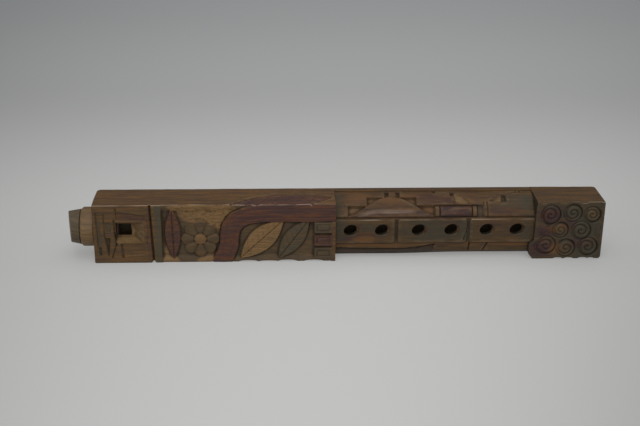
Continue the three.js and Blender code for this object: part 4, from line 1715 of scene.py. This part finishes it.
        # The strip's top edge paled, as rubbing and as painted highlight.
        rubbed_and_lit = (0.42 + 0.40 * front.swings(14.0, 33)) * ease(np.min(near_gap, axis=0) - 1.5)
        front.wear_and_highlight(np.abs(front.z - (section.foot + section.strip - 0.4)), 0.45, rubbed_and_lit)
        front_rows = lift(stations[:, None], points, ways, front.level)
        marks = np.append(np.arange(0.0, slope, self.spacing.slope), slope)
        points, ways = walk(slope_path, marks)
        shoulder = Relief(*np.meshgrid(stations, marks, indexing="ij"))
        carving.carve_shoulder(shoulder)
        shoulder.weather(37, 0.10)
        # Painted sheen: a pale band low on the hill.
        carving.paint_hill_sheen(shoulder)
        shoulder_rows = lift(stations[:, None], points, ways, shoulder.level)
        lip, inner = sizes.back - section.ledge, sizes.back - self.arris
        turns = np.radians(np.linspace(0.0, 90.0, 6))
        bends = [(self.arris * math.sin(a), self.arris * math.cos(a)) for a in turns]
        low = section.under + self.arris
        rest = [(lip - 0.05, sizes.height - 0.25)]
        rest += [(y, sizes.height) for y in np.linspace(lip + 0.3, inner - 0.4, 8)]
        rest += [(inner + y, sizes.height - self.arris + z) for y, z in bends]
        rest += [(sizes.back, z) for z in (36.0, 24.0, 12.0)]
        rest += [(inner + z, low - y) for y, z in bends]
        rest = np.array(rest + [(y, section.under) for y in (12.0, 8.0, 2.0)])
        flat = np.zeros((len(stations), len(rest)))
        rest_rows = lift(stations[:, None], rest, rest * 0, flat)
        rings = np.concatenate([front_rows, shoulder_rows, rest_rows], axis=1)
        tail_face = tail.start + tail.lean(rings[..., 2])
        past = np.maximum(sizes.grip_start - rings[..., 0], rings[..., 0] - tail_face)
        hidden = 1.0 - 0.02 * np.clip(past / 0.1, 0.0, 1.0)
        middle = np.array([0.0, sizes.bore_height])
        rings[..., 1:] = middle + (rings[..., 1:] - middle) * hidden[..., None]
        plain = self.plain_tints(stations, len(rest))
        tints = np.concatenate([front.stacked(), shoulder.stacked(), plain], axis=1)
        return ring_mesh(name, rings, tints)

    def build(self) -> None:
        """Builds the casing's three stretches, bores them and nicks their edges."""
        sizes, bores = self.sizes, Bores(self.sizes)
        carvings = [HeadCarving(sizes.start), PanelCarving(sizes.start + sizes.head)]
        tail_carving = TailCarving(sizes.tail_start)
        head = self.block(
            "casing_head_and_panel", carvings, sizes.grip_start, 3, (True, False), 0.72
        )
        grip = self.grip("casing_grip", tail_carving)
        tail = self.block("casing_tail", [tail_carving], sizes.end, 17, (False, True), 0.45)
        front, low = sizes.front - self.nick_inset, -self.nick_inset
        high = sizes.height + self.nick_inset
        nicks = EdgeNicks()
        dents = [
            nicks.scatter(tuple(Vector((x, front, z)) for x in reach), count, seed, self.wood)
            for reach, z, count, seed in (
                ((sizes.start + 3.0, sizes.grip_start - 2.0), high, 46, 5),
                ((sizes.start + 3.0, sizes.grip_start - 2.0), low, 24, 9),
                ((sizes.tail_start + 4.0, sizes.end - 2.0), low, 10, 12),
            )
        ]
        cut_away(head, [bores.long_bore(), bores.window()])
        cut_away(head, dents[:2])
        cut_away(grip, [bores.long_bore(), *bores.finger_holes()])
        cut_away(tail, [bores.long_bore(), dents[2]])
        self.pieces = [head, grip, tail]

    def dress(self) -> None:
        """Gives the casing its woods and sets it on the flute."""
        # Darker copies of the hardwood: the grip's stands for stain and painted shade, the tail's
        # for painted shade.
        handled_and_shaded = CarvedHardwood("handled_and_shaded_hardwood", (0.79, 0.81, 0.84, 1)).build()
        shaded = CarvedHardwood("shaded_hardwood", (0.77, 0.82, 0.88, 1)).build()
        cut_woods = [wood.build() for wood in self.cut_woods]
        for piece, finish in zip(self.pieces, (self.wood, handled_and_shaded, shaded)):
            shade(piece)
            finish_with(piece, finish, *cut_woods)
            areas, middles, ways = face_facts(piece)
            kinds = Bores(self.sizes).walls(middles)
            # Cut walls that face away from the mouth take the dark wood, as painted shade.
            kinds[(kinds == Wall.BARE) & (ways[:, 0] > self.facing)] = Wall.IN_SHADE
            # Cut walls that face the mouth take the darker end-grain wood, as painted shade.
            kinds[(kinds == Wall.BARE) & (ways[:, 0] < -self.facing)] = Wall.END
            past = np.maximum(self.sizes.start - middles[:, 0], middles[:, 0] - self.sizes.end)
            kinds[(past > -0.5) & (areas > 10.0)] = Wall.END
            piece.data.polygons.foreach_set("material_index", kinds)
            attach(piece, Body.FLUTE.value)
            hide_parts("carved_casing")


def points_at(stations: Array, depths: Array, levels: Array) -> Array:
    """Joins stations, depths and levels into points."""
    return np.stack(np.broadcast_arrays(stations, depths, levels), axis=-1)


@dataclass(frozen=True)
class Bores:
    """The cutters for the bore, the sound window and the finger holes, in millimetres.

    A shape of the window is its length and its lowest and highest levels.
    """

    sizes: Sizes
    radius: float = 11.3
    window_start: float = 17.8
    window_shape: Triple = (22.4, 17.3, 35.0)
    window_swell: float = 1.1
    slot_shape: Triple = (11.3, 20.5, 30.4)
    hole_places: tuple[float, ...] = (0.0765, 0.2345, 0.4215, 0.5875, 0.767, 0.9195)
    hole_level: float = 24.6
    hole_shape: tuple[Point, Point] = ((1.14, 0.03), (0.07, 0.96))
    hole_radius: float = 4.7
    rim_radius: float = 5.2
    rim_depth: float = 0.7
    lean: float = math.tan(math.radians(10.0))
    overrun: float = 4.0

    @property
    def mouth(self) -> float:
        """Station of the window's edge nearest to the lips."""
        return self.sizes.start + self.window_start

    @property
    def face(self) -> float:
        """Depth of the strip that the holes go through."""
        return self.sizes.front + GripSection(self.sizes).setback

    def walls(self, points: Array) -> Array:
        """Tells which points lie on the walls of the bore, the window or the holes.

        Args:
            points: places in millimetres.

        Returns:
            BARE on the bore's and the window's walls, the dark kind for painted shade on the
            holes', and CARVED elsewhere.
        """
        sizes, (x, y, z) = self.sizes, points.T
        bored = np.hypot(y, z - sizes.bore_height) < self.radius + 0.3
        length, low, high = self.window_shape
        far = self.mouth + length
        across = Plane(x, z).box((self.mouth, low), (far, high))
        clear = (x < far - self.window_swell - 0.1) & (across < -0.02)
        window = (across < 0.05) & (y < 0) & (y > sizes.front + np.where(clear, -0.5, 0.9))
        holes = np.zeros(len(x), dtype=bool)
        for share in self.hole_places:
            middle = sizes.grip_start + share * sizes.grip - self.lean * (y - self.face)
            holes |= self.hole_reach(x - middle, z - self.hole_level) < self.rim_radius + 0.12
        holes &= (y < 0) & (y > self.face + 0.02)
        return np.where(holes, Wall.IN_SHADE, np.where(bored | window, Wall.BARE, Wall.CARVED))

    def hole_reach(self, across: Array, up: Array) -> Array:
        """How far from a hole's middle points lie, with its oval shape undone.

        Args:
            across: how far they are along the flute.
            up: how far they are above.

        Returns:
            Their distance on the round hole.
        """
        (a, b), (c, d) = self.hole_shape
        area = a * d - b * c
        return np.hypot((d * across - b * up) / area, (a * up - c * across) / area)

    def make_oval(self, cutter: bpy.types.Object, centre: Vector) -> None:
        """Turns a round hole's cutter into the slightly raised oval that the carver left.

        Args:
            cutter: the cutter.
            centre: the hole's middle on the strip, in millimetres.
        """
        (a, b), (c, d) = self.hole_shape
        for vertex in cutter.data.vertices:
            axis = centre.x - self.lean * (vertex.co.y / MM - centre.y)
            across, up = vertex.co.x / MM - axis, vertex.co.z / MM - centre.z
            vertex.co.x = (axis + a * across + b * up) * MM
            vertex.co.z = (centre.z + c * across + d * up) * MM

    def long_bore(self) -> bpy.types.Object:
        """The bore from end to end.

        Returns:
            The cutter.
        """
        stations = (self.sizes.start - 9.0, self.sizes.end + 9.0)
        ends = tuple(Vector((x, 0, self.sizes.bore_height)) for x in stations)
        return cone("bore", (self.radius, self.radius), ends, 96)

    def window(self) -> bpy.types.Object:
        """The funnel of the sound window.

        Returns:
            The cutter, its far side swelling out.
        """
        depth = -self.sizes.bore_radius - self.sizes.front
        rings = []
        for reach in (-self.overrun, 0.0, depth, depth + self.overrun):
            share = np.clip(reach / depth, 0.0, 1.0)
            length, foot, top = (
                outer + (inner - outer) * share
                for outer, inner in zip(self.window_shape, self.slot_shape)
            )
            far = self.mouth + length
            swell = self.window_swell * (1.0 - share)
            bend = [swell * (1 - math.sin(math.pi * k / 12)) for k in range(13)]
            side = [(far - b, foot + (top - foot) * k / 12) for k, b in enumerate(bend)]
            outline = [(self.mouth, foot), *side, (self.mouth, top)]
            rings.append([(x, self.sizes.front + reach, z) for x, z in outline])
        tints = np.tile([0.0, 1.0, 0.0, 0.5], (len(rings), len(outline), 1))
        funnel = ring_mesh("window", np.array(rings), tints)
        form = bmesh.new()
        form.from_mesh(funnel.data)
        bmesh.ops.recalc_face_normals(form, faces=form.faces)
        form.to_mesh(funnel.data)
        form.free()
        return funnel

    def finger_holes(self) -> list[bpy.types.Object]:
        """The six leaning holes, each with its bevelled rim.

        Returns:
            The cutters.
        """
        cutters, sizes = [], self.sizes
        way = Euler((0, 0, math.atan(self.lean))).to_matrix() @ Vector((0, 1, 0))
        flare = (self.rim_radius - self.hole_radius) / self.rim_depth
        wide = self.rim_radius + flare * self.overrun
        for share in self.hole_places:
            centre = Vector((sizes.grip_start + share * sizes.grip, self.face, self.hole_level))
            for radius, depth in ((self.hole_radius, sizes.bore_radius), (wide, self.rim_depth)):
                ends = (centre - way * self.overrun, centre + way * depth)
                cutters.append(cone("hole", (radius, self.hole_radius), ends, 64))
                self.make_oval(cutters[-1], centre)
        return cutters


# The pipe, the collar and the mouthpiece


def lathe(name: str, profile: Sequence[Point], level: float, sides: int = 128) -> bpy.types.Object:
    """Turns a closed outline about the bore.

    Args:
        name: the object's name.
        profile: points of radius and station in millimetres, closed on itself.
        level: level of the bore's axis.
        sides: how many steps the turn takes.

    Returns:
        The new object.
    """
    form = bmesh.new()
    turns = [2 * math.pi * k / sides for k in range(sides)]
    rings = [
        [
            form.verts.new((x * MM, r * math.sin(a) * MM, (level + r * math.cos(a)) * MM))
            for a in turns
        ]
        for r, x in profile
    ]
    for ring, following in zip(rings, rings[1:] + rings[:1]):
        for k in range(sides):
            after = (k + 1) % sides
            form.faces.new((ring[k], ring[after], following[after], following[k]))
    bmesh.ops.recalc_face_normals(form, faces=form.faces)
    return add_form(name, form)


def rounded(centre: Point, radius: float, ends: Point = (-90, 0), steps: int = 8) -> list[Point]:
    """Points of a profile's rounded corner, its angles in degrees from straight outwards."""
    turns = np.radians(np.linspace(*ends, steps + 1))
    return [(centre[0] + radius * math.cos(a), centre[1] + radius * math.sin(a)) for a in turns]


@dataclass
class MouthPieces:
    """The pipe, the collar round its end, the tip and the block, in millimetres."""

    sizes: Sizes
    collar_radius: float = 15.65
    collar_rounding: float = 2.4
    tip_base: float = 14.05
    tip_end: float = 12.45
    tip_rounding: float = 0.6
    slant: float = 0.235
    edge: float = 0.5
    windway: float = 1.6
    clearance: float = 0.25
    overrun: float = 8.0
    pieces: dict[str, bpy.types.Object] = field(default_factory=dict)

    def build(self) -> None:
        """Builds the four pieces."""
        for piece in (self.pipe(), self.collar(), self.tip(), self.block()):
            self.pieces[piece.name] = piece

    def pipe(self) -> bpy.types.Object:
        """The pipe, with its window and finger holes.

        Returns:
            The new piece.
        """
        sizes, bevel = self.sizes, self.edge
        inner, outer = sizes.bore_radius, sizes.pipe_radius
        low, high = sizes.pipe_start, sizes.pipe_end
        profile = [(inner, low), (outer, low), (outer, high - bevel), (outer - bevel, high)]
        profile += [(inner + bevel, high), (inner, high - bevel)]
        tube = lathe("pipe_of_bamboo", profile, sizes.bore_height, 96)
        bores = Bores(sizes)
        cut_away(tube, [bores.window(), *bores.finger_holes()])
        return tube

    def collar(self) -> bpy.types.Object:
        """The pale collar, its outer edge rolled over.

        Returns:
            The new piece.
        """
        low, high = node_box("mouth_collar")
        inner, outer = self.sizes.pipe_radius + self.sizes.glue_gap, self.collar_radius
        roll = self.collar_rounding
        profile = [(inner, low.x), (inner + 0.8, low.x)]
        profile += rounded((outer - roll, low.x + roll), roll)
        profile += [(outer, high.x - self.edge), (outer - self.edge, high.x), (inner, high.x)]
        return lathe("collar_ring", profile, self.sizes.bore_height)

    def tip(self) -> bpy.types.Object:
        """The dark tip, tapered towards the lips.

        Returns:
            The new piece.
        """
        low, high = node_box("mouth_tip")
        roll, bore, base = self.tip_rounding, self.sizes.bore_radius, self.tip_base
        profile = [(bore, low.x + self.edge), (bore + self.edge, low.x)]
        profile += rounded((self.tip_end - roll, low.x + roll), roll)
        profile += [(base, high.x - self.edge), (base - self.edge, high.x), (bore, high.x)]
        ring = lathe("mouthpiece_tip", profile, self.sizes.bore_height)
        self.slope_end(ring, low.x, high.x)
        return ring

    def slope_end(self, piece: bpy.types.Object, low: float, high: float) -> None:
        """Leans a piece's mouth end, so that it is longer behind than in front.

        Args:
            piece: the piece.
            low: station of its mouth end.
            high: station where the lean has died out.
        """
        for vertex in piece.data.vertices:
            share = min(max((high - vertex.co.x / MM) / (high - low), 0.0), 1.0)
            vertex.co.x -= self.slant * share * vertex.co.y

    def block(self) -> bpy.types.Object:
        """The block, flat in front where the windway runs, and ending at the sound window.

        Returns:
            The new piece.
        """
        sizes, level = self.sizes, self.sizes.bore_height
        low, high = node_box("fipple_block")[0].x, Bores(sizes).mouth
        radius = sizes.bore_radius - self.clearance
        ends = (Vector((low, 0, level)), Vector((high, 0, level)))
        bar = cone("windway_block", (radius, radius), ends, 96)
        form = bmesh.new()
        bmesh.ops.create_cube(form, size=1.0)
        span = Vector((high - low + self.overrun, self.overrun, 3 * self.overrun)) * MM
        bmesh.ops.scale(form, vec=span, verts=form.verts)
        depth = -sizes.bore_radius + self.windway - self.overrun / 2
        middle = Vector(((low + high) / 2, depth, level)) * MM
        bmesh.ops.translate(form, vec=middle, verts=form.verts)
        cut_away(bar, [add_form("windway_cut", form)])
        bevel = bar.modifiers.new("soft", "BEVEL")
        bevel.width, bevel.segments, bevel.limit_method = 0.35 * MM, 2, "ANGLE"
        bevel.angle_limit = math.radians(40)
        bake_modifiers(bar)
        self.slope_end(bar, low, node_box("mouth_tip")[1].x)
        return bar

    def dress(self) -> None:
        """Gives each piece its finish and its body, and darkens the pipe's walls in the holes and
        in its window as painted shade.
        """
        # The bamboo is darkened inside its bore as painted shade.
        bamboo = PlainWood(
            "dry_bamboo", (0.13, 0.08, 0.034, 1), (0.25, 0.16, 0.07, 1), 0.55, 0.02,
            Grain((0.0, 24.5), 1.2, 0.35, 40.0), 0.2, 9.0,
        )
        collar = PlainWood(
            "rubbed_bamboo", (0.080, 0.045, 0.017, 1), (0.182, 0.104, 0.042, 1), 0.45, 0.08,
            Grain((30.0, -20.0), 2.0, 0.45, 18.0),
        )
        tip = PlainWood(
            "dark_turned_wood", (0.048, 0.032, 0.016, 1), (0.104, 0.071, 0.036, 1), 0.45, 0.08,
            Grain((30.0, -20.0), 2.0, 0.4, 14.0), 0.45,
        )
        block = PlainWood(
            "block_wood", (0.12, 0.078, 0.040, 1), (0.24, 0.165, 0.09, 1), 0.6, 0.0,
            Grain((20.0, -10.0), 1.8, 0.4, 20.0), 0.3,
        )
        plan = {
            "pipe_of_bamboo": (bamboo, "bamboo_pipe", "bamboo", Body.FLUTE),
            "collar_ring": (collar, "mouth_collar", "collar_bamboo", Body.FLUTE),
            "mouthpiece_tip": (tip, "mouth_tip", "tip_wood", Body.MOUTHPIECE),
            "windway_block": (block, "fipple_block", "block_wood", Body.MOUTHPIECE),
        }
        for name, (finish, node, slot, body) in plan.items():
            piece = self.pieces[name]
            shade(piece, 32.0)
            finish_with(piece, finish.build())
            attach(piece, body.value)
            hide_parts(node)
        pipe = self.pieces["pipe_of_bamboo"]
        pipe.data.materials.append(bpy.data.materials["painted_shade_wood"])
        _, middles, ways = face_facts(pipe)
        # Painted shade: walls in the holes, and window walls that face away from the mouth, take
        # the dark wood.
        dark = Bores(self.sizes).walls(middles) == Wall.IN_SHADE
        dark |= (ways[:, 0] > CarvedCasing.facing) & (middles[:, 0] < 0.0)
        pipe.data.polygons.foreach_set("material_index", dark.astype(int))


# The studio


@dataclass(frozen=True)
class Studio:
    """Floor, backdrop, soft lights and the camera, in metres and degrees."""

    floor_colour: Colour = (0.592, 0.588, 0.574, 1)
    # The floor's colours darken towards the back: a painted fall-off of light.
    middle_colour: Colour = (0.398, 0.398, 0.393, 1)
    far_colour: Colour = (0.330, 0.335, 0.338, 1)
    # How fast the floor is painted darker to the sides: a painted fall-off of light.
    falloff: float = 3.3
    # The floor's glow: painted light that softens its shadows.
    glow: float = 0.43
    sky: Colour = (0.94, 0.97, 1.0, 1)
    sky_strength: float = 0.66
    lamps: tuple[tuple[str, Triple, float, float], ...] = (
        ("key", (-0.1, -1.0, 1.75), 1.4, 8.0),
        ("overhead", (0.1, 0.5, 2.0), 2.2, 8.0),
        ("fill", (-0.3, -1.9, 0.8), 1.8, 11.0),
    )
    camera_place: Triple = (-0.0469, -0.8364, 0.3801)
    camera_turns: tuple[tuple[str, float], ...] = (("Z", -2.33), ("X", 67.56), ("Z", 0.46))
    lens: float = 63.75

    def build(self) -> None:
        """Sets up everything that isn't the flute."""
        self.add_floor()
        for name, place, size, power in self.lamps:
            data = bpy.data.lights.new(name, "AREA")
            data.shape, data.size, data.energy = "SQUARE", size, power
            lamp = add_object(name, data)
            lamp.location = place
            lamp.rotation_euler = (-Vector(place)).to_track_quat("-Z", "Y").to_euler()
        world = bpy.data.worlds.new("studio")
        world.use_nodes = True
        sky = world.node_tree.nodes["Background"].inputs
        sky["Color"].default_value, sky["Strength"].default_value = self.sky, self.sky_strength
        bpy.context.scene.world = world
        self.add_camera()

    def add_floor(self) -> None:
        """A wide pale floor that runs up into a backdrop, painted darker to the back and sides as a
        fall-off of light, and glowing to soften its shadows, both painted light.
        """
        rows = [(y, 0.0) for y in (-3.0, -1.0, 0.0, 0.6, 1.3)]
        turns = np.linspace(0.15, 1.5, 12)
        rows += [(1.3 + 0.9 * math.sin(a), 0.9 - 0.9 * math.cos(a)) for a in turns]
        rows += [(2.25, 3.5)]
        verts = [(x, y, z) for y, z in rows for x in (-4.0, 4.0)]
        faces = [(2 * k, 2 * k + 1, 2 * k + 3, 2 * k + 2) for k in range(len(rows) - 1)]
        mesh = bpy.data.meshes.new("floor")
        mesh.from_pydata(verts, [], faces)
        floor = add_object("floor", mesh)
        mesh.polygons.foreach_set("use_smooth", [True] * len(faces))
        tree = Shader("pale_floor")
        x, y, _ = tree.parts(tree.place((MM, MM, MM)))
        # The floor is painted darker to the back and sides: a painted fall-off of light.
        reach = tree.math("MAXIMUM", y * 0.98 + 1.0, 0.5)
        side = ((x - y * 0.115 + 0.012) / reach) ** 2.0
        coats = [
            (y.ramp(0.45, 1.05), self.far_colour),
            (tree.math("MINIMUM", side * self.falloff, 0.35), (0.05, 0.05, 0.05, 1)),
        ]
        near = tree.mix(y.ramp(0.05, 0.50), self.floor_colour, self.middle_colour)
        colour = tree.layer(near, coats)
        base = tree.mix(1.0, colour, (0.48, 0.48, 0.48, 1), "MULTIPLY")
        # The floor glows: painted light that softens its shadows.
        glow = {"Emission_Color": colour, "Emission_Strength": self.glow}
        floor.data.materials.append(tree.finish(Base_Color=base, Roughness=0.9, **glow))

    def add_camera(self) -> None:
        """The camera, where the photograph was taken from."""
        data = bpy.data.cameras.new("camera")
        data.lens, data.sensor_width = self.lens, 36.0
        camera = add_object("camera", data)
        place = Matrix.Translation(self.camera_place)
        for axis, angle in self.camera_turns:
            place = place @ Matrix.Rotation(math.radians(angle), 4, axis)
        camera.matrix_world = place
        bpy.context.scene.camera = camera


def main() -> None:
    """Builds the studio and the flute, and reports each piece."""
    logging.basicConfig(level=logging.INFO, format="%(message)s")
    scene = bpy.context.scene
    scene.view_settings.view_transform = "Standard"
    Studio().build()
    sizes = measure_frame()
    casing, mouth = CarvedCasing(sizes), MouthPieces(sizes)
    for assembly in (casing, mouth):
        assembly.build()
        assembly.dress()
    for piece in [*casing.pieces, *mouth.pieces.values()]:
        LOG.info("%s: %d faces", piece.name, len(piece.data.polygons))


if __name__ == "__main__":
    main()
